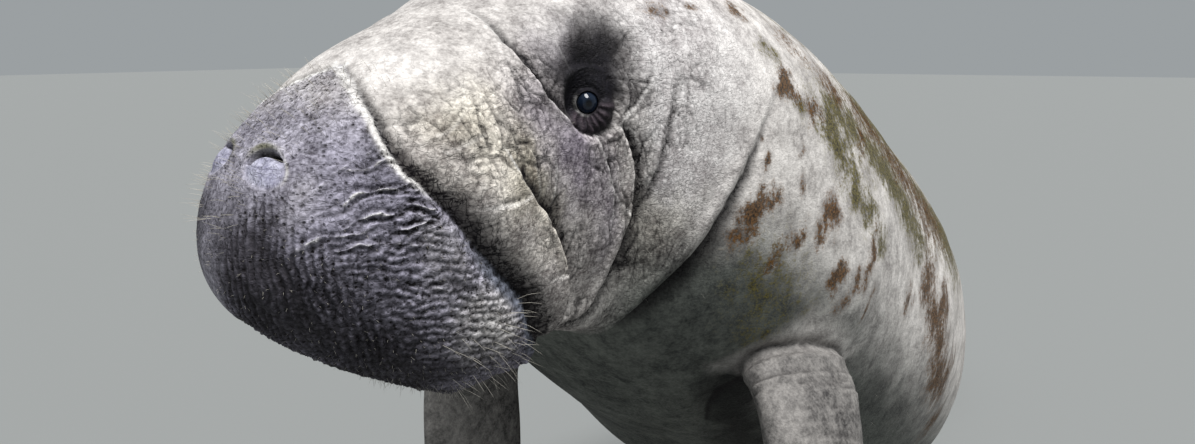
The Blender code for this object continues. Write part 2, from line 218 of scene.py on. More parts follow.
class Spine:
    """The bent middle line, with the directions left, up and tailward at each point."""

    def __init__(self):
        self.along = np.arange(0, BODY_LENGTH + SPINE_STEP / 2, SPINE_STEP)
        rise = np.radians(smooth_curve(RISE)(self.along))
        turn = np.radians(smooth_curve(TURN)(self.along))
        level = np.cos(rise)
        self.tailward = np.stack([np.sin(turn) * level, np.cos(turn) * level, np.sin(rise)], 1)
        self.left = np.stack([np.cos(turn), -np.sin(turn), 0 * turn], 1)
        self.up = np.cross(self.left, self.tailward)
        steps = (self.tailward[1:] + self.tailward[:-1]) / 2 * SPINE_STEP
        self.middle = np.concatenate([np.zeros((1, 3)), np.cumsum(steps, 0)])
        self.middle -= self.middle[round(SPINE_ANCHOR / SPINE_STEP)]
        self.middle += (0, SPINE_SHIFT, SPINE_HEIGHT)

    def read(self, track, distance):
        return np.stack([np.interp(distance, self.along, track[:, k]) for k in range(3)], -1)


SPINE = Spine()


def skin_point(distance, angle):
    """A point on the plain body at a distance and an angle in degrees."""
    distance, angle = np.broadcast_arrays(np.asarray(distance, float), np.asarray(angle, float))
    to_snout = np.clip(1 - distance / SNOUT_ROUND, 0, 1)
    to_end = np.clip(1 - (BODY_LENGTH - distance) / PADDLE_ROUND, 0, 1)
    snout = (1 - to_snout**SNOUT_POWER) ** (1 / SNOUT_POWER)
    paddle = (1 - to_end**PADDLE_POWER) ** (1 / PADDLE_POWER)
    sine, cosine = np.sin(np.radians(angle)), np.cos(np.radians(angle))
    power = 2 / squareness(distance)
    reach = np.where(cosine >= 0, height_above(distance), depth_below(distance))
    across = half_width(distance) * np.sign(sine) * abs(sine) ** power * snout * paddle
    upward = reach * np.sign(cosine) * abs(cosine) ** power * snout * paddle**PADDLE_EDGE
    swell = 0 * distance
    for place, round_to, spread, spread_round, height in BULGES:
        far = ((distance - place) / spread) ** 2 + ((abs(angle) - round_to) / spread_round) ** 2
        swell = swell + height * np.exp(-far)
    grow = 1 + swell * snout / np.maximum(np.hypot(across, upward), SPINE_STEP)
    return (
        SPINE.read(SPINE.middle, distance)
        + (across * grow)[..., None] * SPINE.read(SPINE.left, distance)
        + (upward * grow)[..., None] * SPINE.read(SPINE.up, distance)
    )


def skin_frame(place):
    """A place's point and its unit directions: down the flank, tailward and out."""
    distance, angle = place
    here = skin_point(distance, angle)
    tailward = unit(skin_point(distance + SPINE_STEP, angle) - here)
    down = unit(skin_point(distance, angle + math.copysign(1, angle)) - here)
    out = unit(np.cross(down, tailward))
    out *= np.sign(out @ (here - SPINE.read(SPINE.middle, distance)))
    return here, unit(down - tailward * (down @ tailward)), tailward, out


def places_of(points, start=0.45, end=1.15):
    """The places nearest to points near the body, and the points' heights over the skin."""
    rows = slice(int(start / SPINE_STEP), int(end / SPINE_STEP))
    middle, tailward = SPINE.middle[rows], SPINE.tailward[rows]
    ahead = points @ tailward.T - (middle * tailward).sum(1)
    last = np.clip((ahead > 0).sum(1) - 1, 0, len(middle) - 2)
    this, following = (np.take_along_axis(ahead, (last + k)[:, None], 1)[:, 0] for k in (0, 1))
    distance = SPINE.along[rows][last] + SPINE_STEP * this / (this - following)
    offset = points - SPINE.read(SPINE.middle, distance)
    across = (offset * SPINE.read(SPINE.left, distance)).sum(1)
    upward = (offset * SPINE.read(SPINE.up, distance)).sum(1)
    reach = np.where(upward >= 0, height_above(distance), depth_below(distance))
    power = squareness(distance) / 2
    sine = np.sign(across) * (abs(across) / half_width(distance)) ** power
    cosine = np.sign(upward) * (abs(upward) / reach) ** power
    angle = np.degrees(np.arctan2(sine, cosine))
    skin = skin_point(distance, angle) - SPINE.read(SPINE.middle, distance)
    return distance, angle, np.hypot(across, upward) - np.linalg.norm(skin, axis=1)


class Flipper:
    """A flipper's shape by the share of its route travelled and the turn round it."""

    def __init__(self, side):
        self.sign = 1 if side == "left" else -1
        points = np.array(FLIPPER_ROUTES[side]) + (0, SPINE_SHIFT, SPINE_HEIGHT)
        lengths = np.linalg.norm(np.diff(points, axis=0), axis=1)
        shares = np.concatenate([[0], np.cumsum(lengths)]) / lengths.sum()
        self.lines = [smooth_curve(list(zip(shares, column))) for column in points.T]
        self.breadth = smooth_curve([(row[0], row[1]) for row in FLIPPER_SECTIONS])
        self.thickness = smooth_curve([(row[0], row[2]) for row in FLIPPER_SECTIONS])
        self.back_edge = np.array(FLIPPER_ACROSS[side])

    def middle(self, share):
        return np.stack([line(share) for line in self.lines], -1)

    def directions(self, share):
        step = 0.01
        ahead, behind = np.minimum(share + step, 1), np.maximum(share - step, 0)
        along = unit(self.middle(ahead) - self.middle(behind))
        across = unit(self.back_edge - along * (along @ self.back_edge)[..., None])
        return across, np.cross(along, across) * self.sign

    def surface(self, share, turn):
        """Points of the skin, for a turn in degrees from the trailing edge over the outer face."""
        share, turn = np.broadcast_arrays(np.asarray(share, float), np.asarray(turn, float))
        across, out = self.directions(share)
        to_tip = np.clip(1 - (1 - share) / FLIPPER_TIP, 0, 1)
        rounding = np.sqrt(1 - to_tip**2)
        wide = np.cos(np.radians(turn)) * self.breadth(share) * rounding
        thick = np.sin(np.radians(turn)) * self.thickness(share) * rounding**0.5
        return self.middle(share) + wide[..., None] * across + thick[..., None] * out


# --- Weaving the skin's mesh ---


class Weave:
    """The skin's points and faces as they are gathered, row by row."""

    def __init__(self):
        self.points, self.places, self.limb, self.corners, self.total = [], [], [], [], 0

    def add(self, points, distance, angle, limb=0.0):
        """Takes in an array of points and returns their numbers in the same arrangement."""
        shape = points.shape[:-1]
        numbers = np.arange(self.total, self.total + int(np.prod(shape))).reshape(shape)
        distance, angle, limb = (np.broadcast_to(x, shape).ravel() for x in (distance, angle, limb))
        self.points.append(points.reshape(-1, 3))
        self.places.append(np.stack([distance, angle], 1))
        self.limb.append(limb)
        self.total += numbers.size
        return numbers

    def join(self, rows, keep=None):
        """Faces between rows of points that close round; keep says which of them stay."""
        after = np.roll(rows, -1, axis=1)
        corners = np.stack([rows[:-1], after[:-1], after[1:], rows[1:]], -1)
        self.corners.append(corners[keep] if keep is not None else corners.reshape(-1, 4))

    def close(self, ring, tip, flip=False):
        """A fan from a ring to a point; a triangle is a face whose last corner is given twice."""
        after = np.roll(ring, -1)
        first, second = (after, ring) if flip else (ring, after)
        tips = np.full(len(ring), tip)
        self.corners.append(np.stack([first, second, tips, tips], -1))


def steps_over(distances):
    """How far each distance lies from the one before it, measured over the skin."""
    lines = skin_point(distances[:, None], np.arange(0, 360, 30)[None, :])
    return np.linalg.norm(np.diff(lines, axis=0), axis=-1).mean(1)


def ring_distances():
    """Distances of the rings, so that they lie over the skin at RING_SPACING."""
    ends = np.linspace(0, 1, END_SAMPLES) ** 3
    snout = ends * SNOUT_ROUND
    paddle = BODY_LENGTH - ends[::-1] * PADDLE_ROUND
    fine = np.concatenate([snout, np.arange(SNOUT_ROUND, paddle[0], MM)[1:-1], paddle])
    spacing = smooth_curve(RING_SPACING)((fine[1:] + fine[:-1]) / 2)
    count = np.concatenate([[0], np.cumsum(steps_over(fine) / spacing)])
    return np.interp(np.arange(1, int(count[-1])), count, fine)


def round_angles():
    """Angles of the points in a ring, spread evenly over a squarish section."""
    turn = np.radians(np.arange(ROUND_POINTS) * 360 / ROUND_POINTS - 180)
    sine, cosine = np.sin(turn), np.cos(turn)
    even = 1.15  # pulls the points in a little from the section's corners
    squared = np.arctan2(np.sign(sine) * abs(sine) ** even, np.sign(cosine) * abs(cosine) ** even)
    return np.degrees(np.where(turn < -math.pi + 1e-9, -math.pi, squared))


RINGS, ANGLES = ring_distances(), round_angles()


def over_skin(distance):
    """How far a distance lies from the snout, measured over the skin."""
    return np.interp(distance, RINGS, np.concatenate([[0], np.cumsum(steps_over(RINGS))]))


def loop_round(numbers, patch):
    """The rows and columns of a patch, and the points on its border, counterclockwise."""
    start, end, low, high = patch
    top, bottom = np.searchsorted(RINGS, (start, end))
    left, right = np.searchsorted(ANGLES, (low, high))
    border = np.concatenate(
        [
            numbers[top, left:right],
            numbers[top:bottom, right],
            numbers[bottom, left + 1 : right + 1][::-1],
            numbers[top + 1 : bottom + 1, left][::-1],
        ]
    )
    return (top, bottom, left, right), border


def places_under(across, along, home, place, directions):
    """Places of the plain skin that lie under flat offsets from a place, by Newton's method."""
    distance = np.full(across.shape, place[0]) + along
    angle = np.full(across.shape, float(place[1]))
    first, second = directions
    small, turned = 1e-4, 0.05

    def flat(at_distance, at_angle):
        offset = skin_point(at_distance, at_angle) - home
        return np.stack([offset @ first, offset @ second], -1)

    for _ in range(NEWTON_STEPS):
        here = flat(distance, angle)
        by_distance = (flat(distance + small, angle) - here) / small
        by_angle = (flat(distance, angle + turned) - here) / turned
        miss = np.stack([across, along], -1) - here
        area = by_distance[..., 0] * by_angle[..., 1] - by_distance[..., 1] * by_angle[..., 0]
        further = miss[..., 0] * by_angle[..., 1] - miss[..., 1] * by_angle[..., 0]
        rounder = by_distance[..., 0] * miss[..., 1] - by_distance[..., 1] * miss[..., 0]
        distance = distance + further / area
        angle = angle + rounder / area
    return distance, angle


class Opening:
    """An oval opening in the skin, with rings of its own out to its patch's border."""

    def __init__(self, weave, border, place, rings, oval, middle=(0.0, 0.0)):
        self.home, self.down, self.tailward, self.out = skin_frame(place)
        self.place, self.oval, self.middle = place, np.array(oval), np.array(middle)
        points = np.concatenate(weave.points)[border] - self.home
        flat = (np.stack([points @ self.down, points @ self.tailward], -1) - middle) / self.oval
        self.turn = np.arctan2(flat[:, 1], flat[:, 0])
        far = np.linalg.norm(flat, axis=1)
        share = np.linspace(0, 1, rings + 1)[1:, None]
        self.reach = far * (1 - share) + share
        distance, angle = self.under(self.reach)
        self.rows = weave.add(skin_point(distance, angle), distance, angle)
        self.edge_places = distance[-1], angle[-1]
        weave.join(np.concatenate([border[None], self.rows]))

    def flat_of(self, reach):
        spoke = np.stack([np.cos(self.turn), np.sin(self.turn)], -1) * self.oval
        return self.middle + reach[..., None] * spoke

    def under(self, reach):
        flat = self.flat_of(reach)
        directions = self.down, self.tailward
        return places_under(flat[..., 0], flat[..., 1], self.home, self.place, directions)


def make_openings(weave, numbers, holes):
    """The eyes' and nostrils' own rings; the eyes end in cups behind the eyeballs."""
    openings = {}
    for side, sign in (("left", 1), ("right", -1)):
        for name, place, patch in (
            ("eye", EYE_PLACE, EYE_PATCH),
            ("nostril", NOSTRIL_PLACE, NOSTRIL_PATCH),
        ):
            low, high = sorted((sign * patch[2], sign * patch[3]))
            hole, border = loop_round(numbers, (patch[0], patch[1], low, high))
            holes.append(hole)
            here = (place[0], sign * place[1])
            if name == "eye":
                made = Opening(weave, border, here, EYE_RINGS, (LID_OPENING, LID_OPENING))
                make_eye_cup(weave, made)
            else:
                made = Opening(weave, border, here, NOSTRIL_RINGS, NOSTRIL_OVAL, NOSTRIL_MIDDLE)
                make_nostril_floor(weave, made)
            openings[name, side] = made
    return openings


def looking(eye):
    """The turned eye's own tailward and outward directions."""
    turn = math.radians(EYE_TURN)
    out = eye.out * math.cos(turn) - eye.tailward * math.sin(turn)
    return eye.tailward * math.cos(turn) + eye.out * math.sin(turn), out


def make_eye_cup(weave, eye):
    """The lids' inner faces, and the skin that runs on round the back of the eyeball."""
    start = math.asin(LID_OPENING / (EYE_RADIUS + LID_THICK))
    behind = np.linspace(start * 1.08, math.pi * 0.97, EYE_CUP_RINGS)
    tilt = np.concatenate([[start, start * 1.02], behind])
    radius = np.full(len(tilt), EYE_RADIUS + LID_EASE)
    radius[0] = EYE_RADIUS + LID_THICK * 0.6
    tailward, out = looking(eye)
    spoke = np.cos(eye.turn)[:, None] * eye.down + np.sin(eye.turn)[:, None] * tailward
    centre = eye.home - eye.out * EYE_DEPTH
    rows = centre + radius[:, None, None] * (
        np.sin(tilt)[:, None, None] * spoke + np.cos(tilt)[:, None, None] * out
    )
    inward = np.linspace(0.05, 0.9, len(tilt))[:, None]
    distance = eye.edge_places[0] * (1 - inward) + eye.place[0] * inward
    angle = eye.edge_places[1] * (1 - inward) + eye.place[1] * inward
    eye.cup = weave.add(rows, distance, angle)
    weave.join(np.concatenate([eye.rows[-1:], eye.cup]))
    back = weave.add((centre - out * (EYE_RADIUS + LID_EASE))[None], *eye.place)
    eye.cup = np.append(eye.cup, back)
    weave.close(eye.cup[:-1].reshape(len(tilt), -1)[-1], back[0])


def make_nostril_floor(weave, nostril):
    """Rings inside the nostril, closer together towards its edge."""
    inner = 1 - np.linspace(0, 1, NOSTRIL_FLOOR_RINGS + 1)[1:, None] ** 1.5 * 0.97
    reach = inner * np.ones(len(nostril.turn))
    distance, angle = nostril.under(reach)
    rows = weave.add(skin_point(distance, angle), distance, angle)
    weave.join(np.concatenate([nostril.rows[-1:], rows]))
    tip = weave.add(skin_point(*nostril.place)[None], *nostril.place)
    weave.close(rows[-1], tip[0])
    nostril.rows = np.concatenate([nostril.rows, rows])


def find_root(shape):
    """For each of FLIPPER_TURNS, the share at which the blade stands clear of the body, and the
    place on the body where it comes out of it."""
    blade = shape.surface(ROOT_SHARES[:, None], FLIPPER_TURNS[None, :])
    found = places_of(blade.reshape(-1, 3))
    distance, angle, height = (values.reshape(len(ROOT_SHARES), -1) for values in found)
    clear, roots = [], []
    for column in range(len(FLIPPER_TURNS)):
        line = np.maximum.accumulate(height[:, column])
        clear.append(np.interp(FLIPPER_LIFT, line, ROOT_SHARES))
        root = np.interp(0.0, line, ROOT_SHARES)
        roots.append([np.interp(root, ROOT_SHARES, track[:, column]) for track in (distance, angle)])
    return np.array(clear), np.array(roots)


def turns_to_join(border_places, roots, middle):
    """The turn round the flipper at which each point of the patch's border joins it."""
    degree = math.radians(1) * 0.27  # metres round the body, whose half width is 0.27 there

    def bearing(places):
        return np.arctan2((places[:, 1] - middle[1]) * degree, places[:, 0] - middle[0])

    round_root, wanted = np.unwrap(bearing(roots)), bearing(border_places)
    if round_root[-1] < round_root[0]:
        ladder, turns = round_root[::-1], FLIPPER_TURNS[::-1]
    else:
        ladder, turns = round_root, FLIPPER_TURNS
    return np.interp(ladder[0] + (wanted - ladder[0]) % math.tau, ladder, turns)


def shift_to_even(shape, joined):
    """How many degrees each column has to turn so that they lie evenly round the blade."""
    unwrapped = np.degrees(np.unwrap(np.radians(joined)))
    heading = -1 if unwrapped[-1] < unwrapped[0] else 1
    order = np.arange(len(joined)) / len(joined) * heading
    oval = shape.surface(0.6, FLIPPER_TURNS)
    run = np.concatenate([[0], np.cumsum(np.linalg.norm(np.diff(oval, axis=0), axis=1))])

    def gap(offset):
        even = np.interp((order + offset) % 1, run / run[-1], FLIPPER_TURNS)
        return (even - joined + 180) % 360 - 180

    offsets = np.linspace(0, 1, EVEN_OFFSETS)
    return gap(offsets[np.argmin([abs(gap(offset)).sum() for offset in offsets])])


def make_flipper_skin(weave, side, border):
    """Rings from the patch's border, over the shoulder's blend and down the blade to the tip."""
    shape = Flipper(side)
    clear, roots = find_root(shape)
    middle = roots[:-1].mean(0)
    border_places = np.concatenate(weave.places)[border]
    joined = turns_to_join(border_places, roots, middle)
    start = np.interp(joined, FLIPPER_TURNS, clear)
    root_places = np.stack([np.interp(joined, FLIPPER_TURNS, roots[:, k]) for k in (0, 1)], 1)

    base = np.concatenate(weave.points)[border]
    inward = unit(skin_point(*(border_places * 0.9 + root_places * 0.1).T) - base)
    end = shape.surface(start, joined)
    away = unit(shape.surface(start + SHARE_STEP, joined) - end)
    reach = np.linalg.norm(end - base, axis=1)[:, None] * FLIPPER_FULLNESS
    blend = np.linspace(0, 1, FLIPPER_BLEND_RINGS + 1)[1:, None, None]
    rows = (
        (2 * blend**3 - 3 * blend**2 + 1) * base
        + (blend**3 - 2 * blend**2 + blend) * reach * inward
        + (3 * blend**2 - 2 * blend**3) * end
        + (blend**3 - blend**2) * reach * away
    )
    share = blend[..., 0]
    placed = border_places[None] * (1 - share[..., None]) + root_places[None] * share[..., None]
    first = weave.add(rows, placed[..., 0], placed[..., 1], limb=share * 0.2)

    tip = 1 - FLIPPER_TIP
    rounding = np.sin(np.linspace(0, 1, FLIPPER_TIP_RINGS + 1)[:-1] * math.pi / 2)
    down = np.concatenate(
        [
            np.linspace(0, tip, FLIPPER_RINGS + 1)[1:-1],
            tip + FLIPPER_TIP * rounding,
        ]
    )[:, None]
    shares = start * (1 - down) + down
    relaxed = joined + shift_to_even(shape, joined) * ease(down, 0, 0.35)
    second = weave.add(shape.surface(shares, relaxed), *root_places.T, limb=shares)
    weave.join(np.concatenate([border[None], first, second]))
    end = weave.add(shape.surface(1.0, 0.0)[None], *middle, limb=1.0)
    weave.close(second[-1], end[0])
    shape.rows = np.concatenate([first, second])
    shape.tip_number = end
    shape.shares, shape.turns = shares, relaxed
    return shape


def weave_skin():
    """The whole skin as one mesh: the body's rings, the openings' and the flippers'."""
    weave = Weave()
    grid = skin_point(RINGS[:, None], ANGLES[None, :])
    numbers = weave.add(grid, RINGS[:, None], ANGLES[None, :])
    holes = []
    openings = make_openings(weave, numbers, holes)
    flippers = {}
    for side, patch in FLIPPER_PATCHES.items():
        hole, border = loop_round(numbers, patch)
        holes.append(hole)
        flippers[side] = make_flipper_skin(weave, side, border)
    keep = np.ones((len(RINGS) - 1, ROUND_POINTS), bool)
    for top, bottom, left, right in holes:
        keep[top:bottom, left:right] = False
    weave.join(numbers, keep)
    nose = weave.add(skin_point(0.0, 0.0)[None], 0.0, 0.0)
    weave.close(numbers[0], nose[0], flip=True)
    end = weave.add(skin_point(BODY_LENGTH, 0.0)[None], BODY_LENGTH, 0.0)
    weave.close(numbers[-1], end[0])
    return weave, openings, flippers


def counted(corners):
    """Which corners count: a triangle gives its last one twice."""
    once = np.ones(corners.shape, bool)
    once[corners[:, 3] == corners[:, 2], 3] = False
    return once


def normals_of(points, corners):
    """The direction out of the skin at each point."""
    a, b, c, d = (points[corners[:, k]] for k in range(4))
    face = np.cross(c - a, d - b)
    total = np.zeros_like(points)
    once = counted(corners)
    for k in range(4):
        rows = once[:, k]
        for axis in range(3):
            total[:, axis] += np.bincount(corners[rows, k], face[rows, axis], len(points))
    return unit(total)


def point_areas(points, corners):
    """The area of skin round each point."""
    a, b, c, d = (points[corners[:, k]] for k in range(4))
    area = np.linalg.norm(np.cross(c - a, d - b), axis=1) / 8
    return sum(np.bincount(corners[:, k], area, len(points)) for k in range(4))


def outward(corners, points):
    """The faces of a closed round piece, turned so that they all face away from its middle."""
    offset = points[corners[:, 0]] - points.mean(0)
    first, second, third = (points[corners[:, k]] for k in range(3))
    face = np.cross(second - first, third - first)
    if (face * offset).sum() > 0:
        return corners
    turned = corners[:, [1, 0, 3, 2]]
    fan = corners[:, 3] == corners[:, 2]
    turned[fan] = corners[fan][:, [1, 0, 2, 2]]
    return turned


def mesh_from(name, points, corners):
    """A mesh from faces of four corners or, where the last is given twice, of three."""
    mesh = bpy.data.meshes.new(name)
    once = counted(corners)
    sizes = once.sum(1)
    mesh.vertices.add(len(points))
    mesh.vertices.foreach_set("co", points.astype(np.float32).ravel())
    mesh.loops.add(int(sizes.sum()))
    mesh.loops.foreach_set("vertex_index", corners[once].astype(np.int32))
    mesh.polygons.add(len(corners))
    starts = np.concatenate([[0], np.cumsum(sizes)[:-1]])
    mesh.polygons.foreach_set("loop_start", starts.astype(np.int32))
    mesh.update(calc_edges=True)
    mesh.shade_smooth()
    return mesh


def lay_flat(mesh, corners, flat):
    """Writes each face corner's place in the flat layout that the finishes are kept in."""
    layer = mesh.uv_layers.new(name="OFBake")
    layer.data.foreach_set("uv", flat[counted(corners)].astype(np.float32).ravel())


def mark_points(mesh, marks):
    """Gives a mesh's points their named marks, from 0 to 1."""
    for name, values in marks.items():
        layer = mesh.attributes.new(name, "FLOAT", "POINT")
        layer.data.foreach_set("value", values.astype(np.float32))


def round_piece(name, points, rings, around):
    """A closed round mesh from rings of points, with its two end points last."""
    numbers = np.arange(rings * around).reshape(rings, around)
    woven = Weave()
    woven.join(numbers)
    woven.close(numbers[0], len(points) - 2, flip=True)
    woven.close(numbers[-1], len(points) - 1)
    return mesh_from(name, points, outward(np.concatenate(woven.corners), points))


# --- The form of the skin: folds, lids, nostrils and wrinkles ---
# Lengths in its formulas are in mm where they go with far, a distance in mm, or end in MM.

# The folds: how much of its depth each one's front edge stands up, and its rows of
# (distance, angle, depth, width of the slope on its snout side, width on its tail side), in mm
FOLDS = {
    "muzzle fold": (0.16, [
        (0.141, 0, 1.5, 2.0, 4),
        (0.130, 9, 2.4, 2.0, 5),
        (0.119, 22, 3.6, 2.2, 8),
        (0.112, 35, 5.0, 2.4, 11),
        (0.106, 50, 6.5, 2.8, 15),
        (0.105, 61, 8.5, 3.4, 17),
        (0.110, 76, 12.0, 5.0, 16),
        (0.118, 88, 14.0, 7.0, 14),
        (0.132, 101, 15.0, 9.0, 13),
        (0.150, 114, 15.0, 10.0, 12),
        (0.160, 126, 15.0, 10.0, 12),
        (0.170, 138, 13.0, 9.0, 10),
    ]),
    "cheek fold": (0.30, [
        (0.163, 74, 0.8, 2.0, 3),
        (0.168, 85, 3.0, 2.4, 9),
        (0.176, 92, 6.0, 3.0, 14),
        (0.187, 97, 9.0, 4.0, 18),
        (0.198, 105, 12.0, 4.6, 21),
        (0.203, 114, 13.5, 5.0, 22),
        (0.203, 124, 14.0, 5.0, 20),
        (0.196, 133, 13.0, 5.0, 14),
        (0.180, 140, 10.0, 5.0, 8),
    ]),
    "brow line": (0.35, [
        (0.236, 12, 0.8, 2.0, 4),
        (0.232, 22, 2.4, 2.2, 7),
        (0.225, 35, 3.8, 2.4, 10),
        (0.223, 47, 4.6, 2.4, 11),
        (0.223, 63, 5.0, 2.4, 11),
        (0.229, 74, 4.6, 2.2, 9),
        (0.238, 81, 3.0, 2.0, 5),
    ]),
    "jowl fold": (0.28, [
        (0.282, 88, 2.0, 1.8, 5),
        (0.290, 91, 4.5, 2.4, 10),
        (0.298, 96, 8.0, 3.2, 16),
        (0.301, 102, 10.0, 4.0, 21),
        (0.301, 108, 12.0, 4.6, 25),
        (0.297, 115, 14.0, 5.0, 28),
        (0.290, 123, 15.0, 5.2, 29),
        (0.282, 131, 16.0, 5.4, 27),
        (0.270, 140, 15.0, 5.4, 22),
        (0.250, 148, 12.0, 5.4, 14),
        (0.222, 151, 9.0, 5.0, 9),
    ]),
    "cheek line": (0.25, [
        (0.355, 62, 0.6, 2.0, 3),
        (0.349, 72, 1.4, 2.0, 4),
        (0.343, 82, 2.0, 2.0, 5),
        (0.336, 91, 2.8, 2.0, 7),
        (0.327, 98, 3.4, 2.5, 8),
        (0.314, 106, 4.5, 3.0, 9),
        (0.301, 112, 5.0, 3.5, 9),
    ]),
    "neck fold": (0.24, [
        (0.454, 82, 0.8, 3.0, 8),
        (0.437, 96, 4.5, 4.0, 16),
        (0.430, 105, 9.0, 5.0, 24),
        (0.426, 118, 14.0, 7.0, 32),
        (0.422, 130, 18.0, 8.0, 36),
        (0.415, 142, 19.0, 8.0, 34),
        (0.420, 153, 18.0, 8.0, 30),
        (0.435, 163, 15.0, 8.0, 26),
        (0.445, 172, 12.0, 8.0, 24),
        (0.450, 180, 12.0, 8.0, 24),
    ]),
    "mouth": (0.20, [
        (0.203, 143, 12.0, 4.0, 4),
        (0.180, 149, 15.0, 3.0, 3),
        (0.150, 154, 16.0, 3.0, 3),
        (0.118, 160, 16.0, 3.0, 3),
        (0.092, 169, 15.0, 3.0, 3),
        (0.082, 180, 15.0, 3.0, 3),
    ]),
    "armpit fold": (0.10, [
        (0.655, 118, 0.5, 5.0, 6),
        (0.640, 126, 3.0, 9.0, 12),
        (0.634, 136, 6.0, 11.0, 16),
        (0.650, 146, 8.0, 12.0, 18),
        (0.690, 155, 7.0, 12.0, 18),
        (0.740, 160, 4.0, 10.0, 16),
    ]),
}
# The fine creases: rows of (distance, angle, depth), in mm; each is about 1.5 mm wide
CREASES = {
    "upper lid line": [(0.259, 30, 0.4), (0.260, 50, 1.0), (0.261, 60, 0.8), (0.258, 67, 0.2)],
    "outer corner line": [
        (0.284, 88, 2.6), (0.293, 85, 2.8), (0.304, 83, 2.4), (0.313, 80, 2.0), (0.322, 77, 1.2),
        (0.330, 71, 0.5),
    ],
    "short corner line": [(0.288, 89, 1.6), (0.299, 91, 2.0), (0.310, 95, 0.5)],
    "upper corner line": [(0.329, 60, 0.5), (0.318, 69, 1.4), (0.305, 74, 0.8)],
    "tear line": [
        (0.261, 90, 2.2), (0.266, 95, 2.4), (0.271, 101, 2.8), (0.272, 107, 2.2), (0.268, 115, 0.6),
    ],
    "lobe crossing": [(0.122, 87, 0.5), (0.146, 90, 2.4), (0.171, 91, 2.2)],
    "low lobe crossing": [(0.160, 112, 0.4), (0.178, 114, 1.8), (0.199, 116, 2.2)],
    "short cheek line": [(0.188, 84, 0.4), (0.186, 92, 1.6), (0.184, 98, 2.2)],
    "long cheek line": [(0.212, 84, 0.4), (0.206, 93, 1.8), (0.194, 101, 2.6)],
    "jowl crossing": [(0.267, 100, 1.0), (0.284, 107, 1.8), (0.296, 111, 1.8)],
    "high cheek line": [(0.130, 57, 1.4), (0.144, 56, 1.2), (0.160, 52, 0.4)],
    "mid cheek line": [(0.128, 64, 1.4), (0.148, 66, 1.3), (0.170, 66, 0.4)],
    "temple line": [(0.343, 66, 0.4), (0.352, 72, 1.0), (0.349, 80, 1.2), (0.342, 86, 0.8)],
}
# The muzzle's raised wavy ridges: rows of (distance, angle, height), in mm
RIDGES = {
    "first": [(0.074, 50, 0.2), (0.085, 51, 0.9), (0.092, 53, 1.0), (0.104, 55, 1.0)],
    "second": [(0.078, 59, 0.2), (0.087, 62, 1.0), (0.094, 65, 1.1), (0.103, 67, 0.9)],
    "third": [(0.056, 55, 0.2), (0.067, 58, 0.9), (0.083, 61, 1.1), (0.095, 67, 1.2), (0.104, 72, 1.1)],
    "fourth": [(0.062, 67, 0.2), (0.075, 69, 1.0), (0.087, 75, 1.2), (0.096, 76, 1.2), (0.106, 80, 1.1)],
    "fifth": [(0.078, 79, 0.2), (0.088, 82, 0.9), (0.098, 83, 1.0), (0.107, 85, 0.8)],
    "sixth": [(0.040, 61, 0.2), (0.050, 64, 0.8), (0.060, 68, 0.8), (0.070, 73, 0.6), (0.080, 75, 0.2)],
    "seventh": [(0.058, 47, 0.1), (0.072, 48, 0.5), (0.090, 47, 0.6), (0.105, 49, 0.4)],
    "eighth": [(0.046, 71, 0.1), (0.060, 75, 0.7), (0.074, 81, 0.7), (0.086, 87, 0.5), (0.100, 91, 0.2)],
    "ninth": [(0.052, 84, 0.1), (0.066, 90, 0.6), (0.084, 96, 0.7), (0.102, 101, 0.2)],
}
# Swellings and hollows: (distance, angle, spread along, spread round in degrees, height in mm)
FORMS = {
    "eye socket": (0.278, 63, 0.028, 12, -11.0),
    "first cheek lobe": (0.150, 92, 0.020, 15, 5.0),
    "first cheek lobe, low": (0.180, 118, 0.020, 18, 8.0),
    "second cheek lobe": (0.252, 120, 0.026, 20, 5.0),
    "jowl": (0.355, 128, 0.036, 22, 8.0),
    "mouth corner": (0.186, 146, 0.015, 8, -10.0),
    "jowl, low": (0.270, 151, 0.060, 14, 20.0),
    "throat": (0.375, 160, 0.055, 16, 15.0),
    "muzzle lobe, end": (0.150, 138, 0.022, 12, -7.0),
    "brow": (0.300, 40, 0.045, 14, 4.0),
    "muzzle lobe": (0.120, 128, 0.040, 26, 4.0),
}
JAW_HOLLOW = 0.012  # how far the lower jaw lies inside the lips
# The creases round a flipper's shoulder: rows of (turn round it in degrees, place below the end
# of the shoulder's blend, depth, width), in mm
FLIPPER_CREASES = [
    [
        (0, -12, 3, 5), (40, -12, 6, 6), (90, -11, 10, 8), (130, -10, 11, 8), (170, -9, 9, 7),
        (210, -8, 3, 5), (360, -12, 3, 5),
    ],
    [(0, 20, 0, 2), (60, 20, 2, 2), (98, 23, 2.4, 2), (134, 25, 2.8, 2), (178, 22, 2.4, 2), (200, 20, 0, 2)],
    [(40, 30, 0, 2), (64, 32, 2.2, 2), (90, 33, 2.6, 2), (112, 30, 0, 2)],
    [
        (10, 36, 0, 2), (28, 38, 2.2, 2), (70, 40, 2.4, 2), (128, 36, 2.4, 2), (196, 32, 2.0, 2),
        (230, 30, 0, 2),
    ],
    [(30, 60, 0, 2), (80, 64, 2.0, 2), (120, 66, 2.0, 2), (160, 62, 0, 2)],
    [(0, 92, 0, 3), (50, 95, 1.4, 3), (110, 92, 1.6, 3), (150, 94, 0, 3)],
]
ALONG_STEPS = 14  # points read between neighbouring rows of a fold
AT_ONCE = 20000  # points compared with a line at a time
# How wide in mm the painted highlight is along the snout side of some folds' front edges
EDGE_HIGHLIGHTS = {"muzzle fold": 3.4, "brow line": 1.8, "cheek fold": 1.8}
